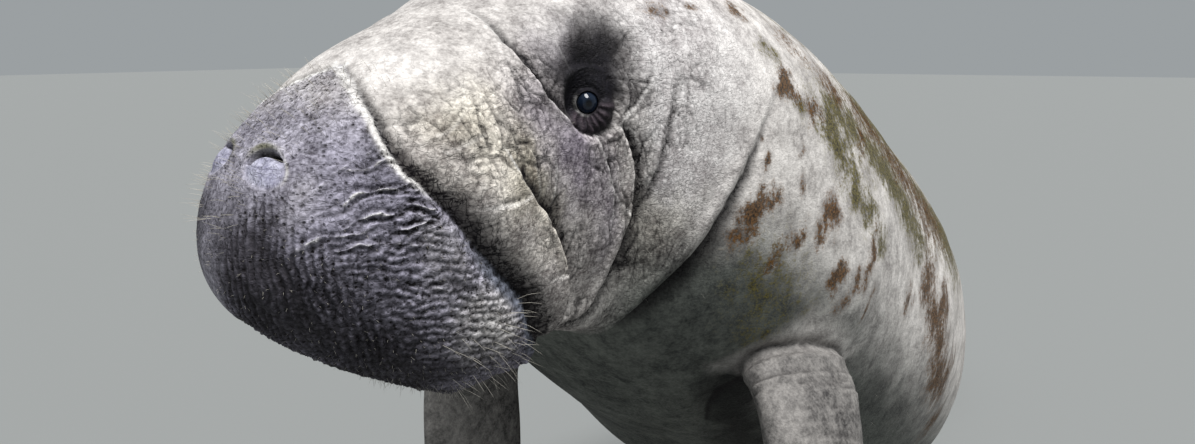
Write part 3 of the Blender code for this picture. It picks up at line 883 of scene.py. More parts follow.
# The cells that the wrinkles run between: sizes tailward, across and up in metres, a seed, and
# how much of a cell its rounded border takes
CELLS = {
    "fine": ((0.0060, 0.0100, 0.0100), 0.0, 0.30),
    "coarse": ((0.017, 0.036, 0.036), 3.0, 0.10),
    "wide": ((0.060, 0.120, 0.120), 5.0, 0.40),
    "upright": ((0.0060, 0.0060, 0.026), 9.0, 0.34),
    "knobs": ((0.0090, 0.0100, 0.0065), 13.0, 0.34),
    "grit": ((0.0050, 0.0050, 0.0050), 17.0, 0.40),
}


def close_curve(rows):
    """The columns of a fold's rows, read closely along smooth curves through them."""
    steps = np.arange(len(rows))
    fine = np.linspace(0, len(rows) - 1, ALONG_STEPS * (len(rows) - 1) + 1)
    return [smooth_curve(list(zip(steps, column)))(fine) for column in zip(*rows)]


def near_line(points, line):
    """Each point's distance from a line of points, its place on the line and the way there."""
    nearest = np.empty(len(points), int)
    for start in range(0, len(points), AT_ONCE):
        part = slice(start, start + AT_ONCE)
        nearest[part] = ((line**2).sum(1) - 2 * points[part] @ line.T).argmin(1)
    best = np.full(len(points), np.inf)
    where, side = np.zeros(len(points)), np.zeros((len(points), 3))
    for first in (np.maximum(nearest - 1, 0), np.minimum(nearest, len(line) - 2)):
        run = line[first + 1] - line[first]
        offset = points - line[first]
        share = np.clip((offset * run).sum(1) / (run * run).sum(1), 0, 1)
        away = offset - share[:, None] * run
        far = np.linalg.norm(away, axis=1)
        closer = far < best
        best = np.where(closer, far, best)
        where = np.where(closer, first + share, where)
        side = np.where(closer[:, None], np.cross(run, away), side)
    return best, where, side


def beside(points, rows, reach):
    """For each side of the animal, the points within a reach in mm of a line on it: their numbers,
    how far they are in mm, whether they lie behind it, and the line's further columns there."""
    distance, angle, *columns = close_curve(rows)
    steps = np.arange(len(distance))
    for sign in (1, -1):
        path = skin_point(distance, sign * angle)
        low, high = path.min(0) - reach * MM, path.max(0) + reach * MM
        near = ((points > low) & (points < high)).all(1).nonzero()[0]
        far, where, side = near_line(points[near], path)
        behind = (side * BASE_NORMALS[near]).sum(1) * sign > 0
        yield near, far / MM, behind, [np.interp(where, steps, column) for column in columns]


def strengthen(mask, near, strength):
    """Raises a mask at some points to a strength, where it is weaker."""
    mask[near] = np.maximum(mask[near], strength)


def noise_at(points, size, seed=0.0):
    """Smooth noise about 0, with lumps of a size in metres."""
    return np.array([noise.noise(p) for p in (points / size + seed).tolist()])


def wander(points, size, far):
    """Points moved up to about far by noise with lumps of a size, both in metres."""
    return points + far * np.array([noise.noise_vector(p)[:] for p in (points / size).tolist()])


def cracks(points, sizes, seed=0.0):
    """0 along the borders of cells with sizes in metres, rising to about 1 inside them."""
    cells = [noise.voronoi(p)[0] for p in (points / np.array(sizes) + seed).tolist()]
    return np.array([far[1] - far[0] for far in cells])


WEAVE, OPENINGS, FLIPPERS = weave_skin()
BASE = np.concatenate(WEAVE.points)
DISTANCE, ANGLE = np.concatenate(WEAVE.places).T
LIMB = np.concatenate(WEAVE.limb)
CORNERS = np.concatenate(WEAVE.corners)
BASE_NORMALS = normals_of(BASE, CORNERS)
ROUND = abs(ANGLE)


def local_at(opening, reach):
    """The points within a reach of an opening, and their offsets down the flank and tailward."""
    offset = BASE - opening.home
    down, along, out = (offset @ way for way in (opening.down, opening.tailward, opening.out))
    near = ((np.hypot(down, along) < reach) & (abs(out) < 0.040) & (LIMB == 0)).nonzero()[0]
    return near, down[near], along[near]


def shape_eye(points, eye, masks):
    """Lays the skin round an eyeball: the lids, the ridged lower lid and the hollow over it."""
    near, down, along = local_at(eye, LID_REACH)
    far, turn = np.hypot(down, along), np.arctan2(along, down)
    below = ease(np.cos(turn), 0.0, 0.55)
    ball = EYE_RADIUS + 1.5 * LID_THICK
    hug = np.sqrt(np.maximum(ball**2 - far**2, 0)) - EYE_DEPTH - (far > ball) * 0.006
    ridge = np.exp(-(((far / MM - LID_RIDGE_RADIUS) / LID_RIDGE_WIDTH) ** 2))
    lower = (LOWER_LID + LID_RIDGE * ridge) * MM
    upper = (UPPER_LID + UPPER_LID_SLOPE * (far / MM - 11)) * MM
    around = upper + (lower - upper) * below
    height = (hug + around + np.sqrt((hug - around) ** 2 + (1.2 * MM) ** 2)) / 2
    fan = below * ease(far, 0.0095, 0.0125) * (1 - ease(far, 0.0250, 0.0290))
    ribs = np.cos(LID_RIBS * turn + 1.4 * np.sin(3 * turn))
    rings = np.cos(far / MM * 2.1 + 2 * np.sin(2 * turn)) * (1 - below)
    height += (LID_RIB_HEIGHT * ribs * fan + 0.15 * rings * ease(far, 0.011, 0.015)) * MM
    edge = 25.3 + 1.6 * abs(np.cos(LID_RIBS / 2 * turn))
    height -= 2.2 * MM * np.exp(-((far / MM - edge) / 1.5) ** 2) * below
    offset = np.stack([down, along, height + EYE_DEPTH], 1)
    level = offset @ np.stack([eye.down, eye.tailward, eye.out])
    turned = offset @ np.stack([eye.down, *looking(eye)])
    share = ease(far, 0.0140, 0.0290)[:, None]
    target = eye.home - eye.out * EYE_DEPTH + turned * (1 - share) + level * share
    share = (1 - ease(far, 0.0262, LID_REACH))[:, None]
    points[near] = points[near] * (1 - share) + target * share
    strengthen(masks["lid"], near, below * (1 - ease(far, 0.0252, 0.0272)))
    strengthen(masks["lid rib"], near, fan * (0.5 + 0.5 * ribs))
    front = ease(np.cos(turn - math.radians(-75)), 0.2, 0.8)
    rim = 0.25 * np.exp(-(((far / MM - 10.2) / 0.9) ** 2)) * front
    strengthen(masks["rim"], near, rim)


def shape_nostril(lift, nostril, masks):
    """Sinks a deep slit under the nostril's brow, over a soft flap that fills the rest."""
    near, down, along = local_at(nostril, 0.060)
    flat = (np.stack([down, along], 1) - nostril.middle) / nostril.oval
    far = np.linalg.norm(flat, axis=1)
    turn = np.degrees(np.arctan2(flat[:, 1], flat[:, 0]))
    aside = (turn - 133 + 180) % 360 - 180
    brow = np.cos(np.radians(np.clip(1.2 * aside, -90, 90)))
    slit = brow**0.8 * ease(1.0 - far, 0.0, 0.06) * ease(far, 0.58, 0.90)
    height = -11.0 * slit - 1.4 * (1 - ease(far, 0.85, 1.25)) * (0.35 + 0.65 * brow)
    height += 2.2 * np.exp(-((far / 0.72) ** 4)) * (1 - 0.35 * brow)
    height += 0.6 * np.exp(-(((far - 1.13) / 0.16) ** 2)) * (0.4 + 0.6 * ease(aside, -160, -30))
    height += 1.6 * np.exp(-(((far - 1.25) / 0.25) ** 2)) * brow
    lift[near] += height * MM
    strengthen(masks["slit"], near, slit)
    strengthen(masks["flap"], near, (1 - ease(far, 0.70, 1.12)) * (1 - slit))
    rim = np.exp(-(((far - 1.06) / 0.07) ** 2)) * np.exp(-(((aside + 95) / 40) ** 2))
    strengthen(masks["rim"], near, 0.6 * rim)
    moss = 0.8 * np.exp(-(((far - 1.1) / 0.2) ** 2)) * brow**2
    strengthen(masks["moss"], near, moss)


def fold_flippers(masks):
    """How far the creases round the flippers' shoulders move the skin, in metres."""
    folded = np.zeros(len(BASE))
    for shape in FLIPPERS.values():
        rows = shape.rows
        steps = np.linalg.norm(np.diff(BASE[rows], axis=0), axis=-1)
        below = np.concatenate([np.zeros((1, rows.shape[1])), np.cumsum(steps, 0)]) / MM
        below -= below[FLIPPER_BLEND_RINGS - 1]
        turn = shape.turns[0] % 360
        wave = 3.0 * noise_at(BASE[rows].reshape(-1, 3), 0.030).reshape(rows.shape)
        for crease in FLIPPER_CREASES:
            places, *columns = (np.array(column, float) for column in zip(*crease))
            place, deep, wide = (np.interp(turn, places, column) for column in columns)
            past = (below - place + wave) / wide
            cut = 0.6 * np.exp(-(abs(past) ** 1.5)) + 0.4 * np.exp(-abs(past) * 3)
            folded[rows] += deep * MM * (0.40 * np.exp(-((past - 2.2) ** 2)) - cut)
            # Painted shade in the creases round the shoulder.
            dark = 0.8 * np.exp(-abs(past) * 1.4) * ease(deep, 0.3, 3)
            strengthen(masks["cavity"], rows, dark)
    return folded


def swell_skin():
    """How far the swellings and hollows move the skin, in metres."""
    lift = np.zeros(len(BASE))
    for place, angle, along, spread, height in FORMS.values():
        far = ((DISTANCE - place) / along) ** 2 + ((ROUND - angle) / spread) ** 2
        lift += height * MM * np.exp(-far)
    jaw = ease(ROUND, 150, 157) * ease(DISTANCE, 0.085, 0.115) * (1 - ease(DISTANCE, 0.17, 0.25))
    return lift - JAW_HOLLOW * jaw


def press_folds(lift, masks):
    """Raises the folds' front edges, and returns how deep the folds and creases go, in metres."""
    wobbly = wander(wander(BASE, 0.016, 0.0018), 0.005, 0.0006)
    depth = np.zeros(len(BASE))
    for name, (edge, rows) in FOLDS.items():
        for near, far, behind, (deep, front, back) in beside(wobbly, rows, 60):
            steep = np.exp(-((far / front) ** 1.5))
            slow = 0.45 * np.exp(-far / (0.3 * back)) + 0.55 * np.exp(-((far / back) ** 1.5))
            depth[near] += (deep * np.where(behind, slow, steep)) ** 3
            stand = np.exp(-(((far / front - 2.6) / 1.5) ** 2)) * ~behind
            lift[near] += edge * deep * stand * MM
            # Painted shade in the fold, reaching wider on its tail side than on its snout side.
            shaded = np.where(behind, 1.5 + 0.92 * deep, 1.6)
            strengthen(masks["cavity"], near, np.exp(-((far / shaded) ** 2.4)) * ease(deep, 0, 5))
            # A painted highlight along the front edge of some folds, on their snout side.
            if name in EDGE_HIGHLIGHTS:
                pale = np.exp(-(((far - EDGE_HIGHLIGHTS[name]) / EDGE_HIGHLIGHTS[name]) ** 2)) * ~behind
                pale *= 2.0 * (1 - ease(ROUND[near], 56, 84)) if name == "muzzle fold" else 0.75
                strengthen(masks["rim"], near, np.minimum(pale, 1) * ease(deep, 0.5, 2))
            if name == "muzzle fold":
                band = ~behind * (1 - ease(far, 1.0 * front, 2.2 * front))
                strengthen(masks["band"], near, band * ease(ROUND[near], 86, 104))
    for rows in CREASES.values():
        for near, far, behind, (deep,) in beside(wobbly, rows, 14):
            cut = 0.5 * np.exp(-far / 2.4) + 0.5 * np.exp(-far / 0.8)
            depth[near] += (deep * cut) ** 3
            lift[near] += 0.25 * deep * np.exp(-(((far - 4.5) / 2.2) ** 2)) * ~behind * MM
            # Painted shade in the crease, and a painted highlight just in front of it.
            strengthen(masks["cavity"], near, 0.85 * np.exp(-far / 1.1) * ease(deep, 0, 2))
            pale = 0.45 * np.exp(-(((far - 2.6) / 1.3) ** 2)) * ~behind
            strengthen(masks["rim"], near, pale * ease(deep, 0.5, 2))
    return np.cbrt(depth) * MM


def raise_ridges(lift, masks):
    """Raises the muzzle's wavy ridges, each with a valley on both its sides."""
    wavy = wander(wander(wander(BASE, 0.014, 0.0036), 0.007, 0.0020), 0.003, 0.0005)
    for rows in RIDGES.values():
        for near, far, _, (high,) in beside(wavy, rows, 14):
            crest, valley = np.exp(-((far / 1.2) ** 2)), np.exp(-(((far - 2.8) / 1.3) ** 2))
            lift[near] += (1.5 * crest - 1.1 * valley) * high * MM
            # A painted highlight on the ridge's crest and painted shade in the valleys beside it.
            strengthen(masks["rim"], near, 0.85 * crest**2 * ease(high, 0.2, 1.2))
            strengthen(masks["cavity"], near, 0.75 * valley**2 * ease(high, 0.2, 1.2))


def form_skin(masks):
    """The skin's points in their final places. The masks take in what each feature marks."""
    body = 1 - ease(LIMB, 0, 0.12)
    lift = swell_skin()
    depth = press_folds(lift, masks)
    folded = fold_flippers(masks)
    raise_ridges(lift, masks)
    soft = noise_at(BASE, 0.130) * 3.0 + noise_at(BASE, 0.045, 7.0) * 1.0
    lift += soft * MM * ease(DISTANCE, 0.0, 0.3)
    for side in ("left", "right"):
        shape_nostril(lift, OPENINGS["nostril", side], masks)
    points = BASE + BASE_NORMALS * ((lift - depth) * body + folded)[:, None]
    for side in ("left", "right"):
        shape_eye(points, OPENINGS["eye", side], masks)
    muzzle = 1 - ease(DISTANCE - MUZZLE_END, -0.004, 0.002)
    fine = wrinkles(muzzle) * (1 - 0.75 * masks["cavity"] * (1 - muzzle))
    usual = muzzle * (0.40 + 0.45 * ease(DISTANCE, *MUZZLE_FRONT)) * ease(ROUND, 16, 60)
    # Darker in the wrinkles' deep valleys: dirt, with painted shade.
    masks["crack"] = np.clip((-fine / MM - usual) / 1.0, 0, 1) * (1 - ease(DISTANCE, 0.29, 0.48))
    points += normals_of(points, CORNERS) * fine[:, None]
    for side in ("left", "right"):
        cup = OPENINGS["eye", side].cup
        points[cup] = BASE[cup]
    return points


def wrinkles(muzzle):
    """Heights of the fine wrinkles over the skin, in metres."""
    section = BASE - SPINE.read(SPINE.middle, DISTANCE)
    left, up = ((section * SPINE.read(way, DISTANCE)).sum(1) for way in (SPINE.left, SPINE.up))
    flat = np.stack([DISTANCE, left, up], 1)
    flat[LIMB > 0] = BASE[LIMB > 0]
    flat, straight = wander(flat, 0.020, 0.0035), wander(BASE, 0.012, 0.0012)
    cells = {}
    for name, (sizes, seed, border) in CELLS.items():
        points = straight if name == "upright" else flat
        cells[name] = ease(cracks(points, sizes, seed), 0.0, border) - 1
    patchy = ease(noise_at(BASE, 0.036, 3.0), -0.30, 0.35)

    facing = math.radians(TURN[0][1])
    beside_middle = (BASE - SPINE.middle[0]) @ (math.cos(facing), -math.sin(facing), 0)
    backward = BASE @ (math.sin(facing), math.cos(facing), 0)
    sideways = 0.82 * backward + 0.57 * abs(beside_middle)
    wobble = 3.5 * MM * noise_at(BASE, 0.020, 21.0) + 1.2 * MM * noise_at(BASE, 0.006, 22.0)
    pleats = 0.5 * np.cos((sideways + wobble) * math.tau / PLEAT) - 0.5
    wobble = 4.5 * MM * noise_at(BASE, 0.016, 23.0) + 2.0 * MM * noise_at(BASE, 0.005, 24.0)
    flaked = (BASE[:, 2] + 0.25 * sideways + wobble) * math.tau / FLAKE
    flakes = np.sqrt(0.5 + 0.5 * np.cos(flaked)) - 1

    front, low = 1 - ease(DISTANCE, *MUZZLE_FRONT), ease(ROUND, 55, 92)
    rear = ease(DISTANCE, 0.31, 0.48)
    face = (1 - muzzle) * (1 - rear)
    height = face * cells["fine"] * (0.22 + 0.42 * patchy) * (0.35 + 0.65 * ease(ROUND, 25, 60))
    height += face * ease(ROUND, 20, 60) * cells["coarse"] * patchy
    upright = 2.7 * pleats * (0.40 + 0.60 * patchy) + 0.7 * cells["upright"]
    height += muzzle * front * ease(ROUND, 16, 38) * upright
    lower = low * (1 - front) * (0.9 * cells["knobs"] + 1.4 * flakes)
    upper = 0.4 * (cells["fine"] + cells["grit"]) * (1 - low) * (1 - front)
    height += muzzle * (lower + upper)
    height += 0.6 * muzzle * cells["grit"] * low
    height += rear * (0.22 * cells["wide"] + 0.12 * cells["fine"]) * (1 - ease(LIMB, 0, 0.2))
    for (name, _), opening in OPENINGS.items():
        far = np.linalg.norm(BASE - opening.home, axis=1)
        height *= ease(far, 0.016, 0.030) if name == "eye" else 0.25 + 0.75 * ease(far, 0.018, 0.030)
    return height * MM


def fold_distance():
    """The distance at which the muzzle ends, for each point's angle."""
    rows = [(row[1], row[0]) for row in FOLDS["muzzle fold"][1]]
    return smooth_curve(rows + [(152, 0.200), (166, 0.215), (180, 0.220)])(ROUND)


MUZZLE_END = fold_distance()
FORM_MASKS = ("cavity", "rim", "band", "slit", "flap", "moss", "lid", "lid rib")
MASKS = {name: np.zeros(len(BASE)) for name in FORM_MASKS}
POINTS = form_skin(MASKS)
NORMALS = normals_of(POINTS, CORNERS)

# --- Markings ---

# Coloured areas as rows of (distance, angle, spread along, spread round in degrees, strength)
MARKS = {
    # Painted shade above and round the eyeball, on top of the socket's own dark skin.
    "socket": [
        (0.266, 74, 0.015, 7, 6.0),
        (0.274, 70, 0.020, 8, 5.0),
        (0.284, 63, 0.022, 9, 3.4),
        (0.288, 55, 0.028, 11, 1.0),
        (0.252, 66, 0.017, 13, 2.2),
        (0.308, 75, 0.016, 7, 0.9),
        (0.278, 84, 0.014, 6, 0.6),
    ],
    "warm": [
        (0.150, 50, 0.030, 26, 1.0),
        (0.175, 86, 0.024, 14, 0.9),
        (0.195, 108, 0.014, 12, 0.6),
        (0.330, 112, 0.040, 18, 0.6),
        (0.370, 92, 0.030, 14, 0.5),
        (0.540, 76, 0.060, 10, 0.6),
        (0.720, 72, 0.120, 12, 0.9),
        (0.900, 72, 0.140, 14, 0.9),
    ],
    "violet": [
        (0.232, 88, 0.024, 14, 0.9),
        (0.205, 72, 0.020, 14, 0.6),
        (0.262, 108, 0.022, 14, 0.6),
        (0.262, 50, 0.030, 16, 1.0),
    ],
    "pale": [
        (0.116, 6, 0.016, 20, 0.5),
        (0.060, 44, 0.012, 9, 0.2),
        (0.100, 90, 0.012, 7, 0.3),
        (0.112, 116, 0.028, 12, 1.1),
        (0.155, 20, 0.030, 30, 0.7),
        (0.300, 22, 0.080, 44, 0.9),
        (0.352, 72, 0.034, 20, 1.0),
        (0.335, 98, 0.034, 15, 1.0),
        (0.385, 94, 0.036, 18, 0.9),
        (0.400, 68, 0.055, 26, 0.9),
        (0.560, 80, 0.090, 22, 0.8),
        (0.750, 84, 0.160, 20, 0.7),
        (0.800, 108, 0.150, 14, 0.5),
    ],
    # Painted shade in the armpits and on the flank behind the flippers.
    "pit": [
        (0.645, 143, 0.045, 10, 1.0),
        (0.690, 149, 0.050, 7, 1.0),
        (0.770, 154, 0.060, 6, 1.0),
        (0.850, 158, 0.060, 8, 0.8),
        (0.890, 122, 0.050, 9, 0.6),
        (1.020, 118, 0.070, 9, 0.5),
    ],
    "dark": [
        (0.018, 75, 0.024, 34, 1.3),
        (0.028, 45, 0.014, 20, 0.6),
        (0.032, 12, 0.018, 28, 0.7),
        (0.050, 108, 0.030, 14, 0.6),
        (0.072, 126, 0.040, 10, 0.7),
        (0.030, 150, 0.040, 30, 0.9),
        (0.120, 164, 0.090, 20, 0.9),
    ],
    "brown": [
        (0.463, 110, 0.018, 7.5, 1.25),
        (0.482, 104, 0.010, 4.0, 0.8),
        (0.568, 100, 0.015, 6.5, 1.15),
        (0.520, 115, 0.012, 5, 0.85),
        (0.535, 108, 0.010, 4, 0.75),
        (0.611, 109, 0.011, 4.5, 1.2),
        (0.645, 109, 0.011, 5, 0.9),
        (0.668, 100, 0.010, 7, 1.2),
        (0.700, 108, 0.009, 5, 0.8),
        (0.463, 74, 0.012, 4, 1.0),
        (0.480, 76, 0.012, 4, 1.0),
        (0.512, 79, 0.014, 4, 0.9),
        (0.840, 97, 0.020, 5, 0.8),
        (0.905, 89, 0.028, 6, 1.2),
        (0.955, 95, 0.024, 6, 1.1),
        (0.985, 89, 0.020, 5, 1.0),
        (1.010, 98, 0.030, 7, 1.1),
        (1.055, 105, 0.030, 6, 1.0),
        (1.116, 103, 0.035, 8, 1.0),
        (1.205, 113, 0.030, 7, 0.9),
        (0.499, 91, 0.005, 2.5, 1.0),
        (0.442, 93, 0.004, 2.0, 0.8),
        (0.460, 97, 0.005, 2.0, 0.8),
        (0.514, 98, 0.006, 2.5, 0.9),
        (0.625, 74, 0.014, 5, 0.9),
        (0.349, 52, 0.009, 4.5, 0.9),
        (0.385, 52, 0.007, 3.0, 0.9),
        (0.437, 50, 0.010, 4.0, 0.9),
        (0.500, 56, 0.024, 7, 0.8),
        (0.560, 64, 0.030, 7, 0.8),
        (0.660, 62, 0.050, 8, 0.8),
        (0.780, 66, 0.070, 7, 0.8),
        (0.920, 70, 0.100, 9, 0.8),
        (1.500, 80, 0.200, 18, 0.6),
        (1.900, 50, 0.200, 30, 0.6),
    ],
    "olive": [
        (0.454, 66, 0.014, 5, 0.7),
        (0.491, 80, 0.012, 4, 0.8),
        (0.536, 82, 0.018, 4.5, 0.9),
        (0.566, 85, 0.020, 5, 1.0),
        (0.600, 89, 0.022, 5, 1.0),
        (0.645, 92, 0.022, 4.5, 0.95),
        (0.690, 95, 0.020, 4, 0.8),
        (0.560, 72, 0.050, 8, 0.80),
        (0.640, 74, 0.060, 8, 0.85),
        (0.720, 76, 0.060, 7, 0.90),
        (0.790, 80, 0.050, 6, 0.70),
        (0.850, 83, 0.050, 6, 0.70),
        (0.700, 58, 0.080, 9, 0.90),
        (0.826, 62, 0.100, 10, 0.60),
        (0.950, 66, 0.120, 10, 0.55),
        (1.066, 70, 0.120, 12, 0.80),
        (0.650, 40, 0.150, 12, 0.6),
        (1.000, 20, 0.450, 30, 0.7),
        (1.550, 30, 0.350, 40, 0.7),
        (2.100, 40, 0.250, 60, 0.6),
        (2.700, 0, 0.250, 80, 0.6),
        (0.520, 120, 0.050, 12, 0.45),
        (0.600, 128, 0.070, 14, 0.40),
    ],
}


def mark_skin(masks):
    """Adds each coloured area's strength at each point, with wandering borders."""
    lumps, crumbs = wander(BASE, 0.024, 1.0) - BASE, wander(BASE, 0.008, 1.0) - BASE
    across = np.maximum(half_width(DISTANCE), 0.08)
    along = DISTANCE + 0.012 * lumps[:, 0] + 0.004 * crumbs[:, 0]
    turned = ROUND + np.degrees((0.012 * lumps[:, 1] + 0.004 * crumbs[:, 1]) / across)
    body = 1 - ease(LIMB, 0.02, 0.15)
    for name, rows in MARKS.items():
        total = np.zeros(len(BASE))
        for place, angle, length, spread, strength in rows:
            far = ((along - place) / length) ** 2 + ((turned - angle) / spread) ** 2
            total += strength * np.exp(-far)
        total = 1 - np.exp(-1.1 * total) if name == "socket" else np.clip(total, 0, 1.3)
        masks[name] = total * (1 - ease(LIMB, 0.12, 0.20) if name == "pit" else body)
    masks["muzzle"] = (1 - ease(DISTANCE - MUZZLE_END, -0.001, 0.001)) * body
    masks["dark"] *= masks["muzzle"]
    crown = 0.75 * (1 - ease(turned, 30, 60)) * (1 - masks["muzzle"])
    masks["smooth"] = np.maximum(ease(DISTANCE, 0.32, 0.50), crown)
    # Painted top light: paler where wrinkles and folds turn the skin more upward than the plain body.
    masks["silt"] = np.clip(1.8 * (NORMALS - BASE_NORMALS)[:, 2], 0, 1)
    masks["limb"] = ease(LIMB, 0.06, 0.22)
    # Painted shade: darker from the lower flank down under the belly.
    under = ease(turned + 8 * ease(along, 0.40, 0.50), 104, 136)
    masks["under"] = under * ease(along, 0.20, 0.38) * body
    masks["warm"] *= 1 - masks["muzzle"]
    top = (1 - ease(turned, 14, 50)) * 0.75
    top += 0.45 * ease(along, 0.085, 0.125) * (1 - ease(turned, 40, 66))
    masks["muzzle top"] = np.clip(top, 0, 1) * masks["muzzle"]


mark_skin(MASKS)


# --- Pieces and their materials ---

# The nodes that the one skin stands for
FLESH = ["muzzle", "lower_jaw", "head", "neck", "trunk_front", "trunk_rear", "tail_stock"]
FLESH += ["tail_paddle", "flipper_left", "flipper_right"]


def colour(code):
    """A colour from its sRGB hex, turned linear."""
    parts = [int(code[k : k + 2], 16) / 255 for k in (0, 2, 4)]
    return (*(p / 12.92 if p <= 0.04045 else ((p + 0.055) / 1.055) ** 2.4 for p in parts), 1.0)


def between(dark, pale):
    """The two ends of a mix of colours."""
    return {6: colour(dark), 7: colour(pale)}


def add_node(tree, kind, inputs=None, out=0, **settings):
    """Adds a node with its settings and links, and returns one of its outputs."""
    made = tree.nodes.new("ShaderNode" + kind)
    for name, value in settings.items():
        setattr(made, name, value)
    for name, value in (inputs or {}).items():
        if isinstance(value, bpy.types.NodeSocket):
            tree.links.new(value, made.inputs[name])
        else:
            made.inputs[name].default_value = value
    return made.outputs[out]


MIXED_COLOUR = {"out": 2, "data_type": "RGBA"}  # how a mix of colours is set up and read


def new_material(name, roughness, ior=1.5, metallic=0.0, **sockets):
    """A material, its node tree and its shader, with the values that are the same all over."""
    made = bpy.data.materials.new(name)
    made.use_nodes = True
    tree = made.node_tree
    shader = tree.nodes["Principled BSDF"]
    values = {"Roughness": roughness, "IOR": ior, "Metallic": metallic, **sockets}
    for socket, value in values.items():
        shader.inputs[socket].default_value = value
    return made, tree, shader


def add_piece(name, mesh, material, slot, *replaced):
    """A piece of the animal that rides on its one body, for the nodes that it replaces."""
    made = bpy.data.objects.new(name, mesh)
    bpy.context.scene.collection.objects.link(made)
    mesh.materials.append(material)
    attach(made, "root")
    if replaced:
        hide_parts(*replaced)


# The skin's zones: mask, and the dark and pale colours that its mottling runs between
ZONES = [
    ("warm", "6f6558", "efe6d2"),
    ("violet", "433b49", "c0b5c1"),
    ("muzzle", "1a1820", "a4a0b0"),
    ("muzzle top", "4c4754", "cfcbd7"),
    ("pale", "9a9393", "f2eeec"),
    ("band", "2f313b", "7d818e"),
    ("dark", "0e0d11", "535058"),
    ("smooth", "75706d", "e8e3de"),
    ("limb", "1d1c1e", "9a9692"),
    # Painted shade under the belly.
    ("under", "191c1d", "6c6f69"),
    # Painted shade in the armpits and behind the flippers.
    ("pit", "0c0d0e", "303230"),
    # The socket's dark skin, with painted shade above the eyeball.
    ("socket", "020203", "15131a"),
    ("moss", "4a4a2c", "8a8860"),
    ("lid", "0b090c", "2c262c"),
    ("lid rib", "181418", "453c42"),
    ("flap", "77758c", "bdbccb"),
    # Pale rims, and painted highlights on fold edges, ridge crests and crease edges.
    ("rim", "bdb8b5", "fffdf9"),
]
# How much each pattern adds to the tone everywhere, on the face and on the trunk
TONES = {
    # The base tone takes in painted top light on upward-turned skin.
    "base": [("mottle", 0.28), ("cloud", 0.20), ("silt", 0.32)],
    "face": [("grain", 0.32), ("lumps", 0.24), ("pebbles", 0.16)],
    "trunk": [("streaks", 0.14), ("grain", 0.16), ("lumps", 0.24)],
}
FACE_DARKER = 0.13
# Algae: mark, dark and pale colours, and a seed that parts one kind's blotches from the other's
ALGAE = [("olive", "1e1a08", "625a2c", 3.0), ("brown", "181007", "62431f", 9.0)]
# The skin's soft patterns: size in mm and detail
NOISES = {"mottle": (30, 4), "grain": (2.8, 3), "lumps": (6.5, 2), "cloud": (120, 3)}
SWIRL, PEBBLE, CRACKLE, PORE = 8, 4.4, 7.0, 4.2  # sizes of its bends, cells and pores in mm
STREAK = (16, 16, 70)  # stains run down the flank
BLOTCH = (14, 14, 26)  # algae grow in blotches that run down the flank
LINES = ((11, 11, 34), (34, 30, 9))  # hair-thin wrinkles run down the flank and cross it


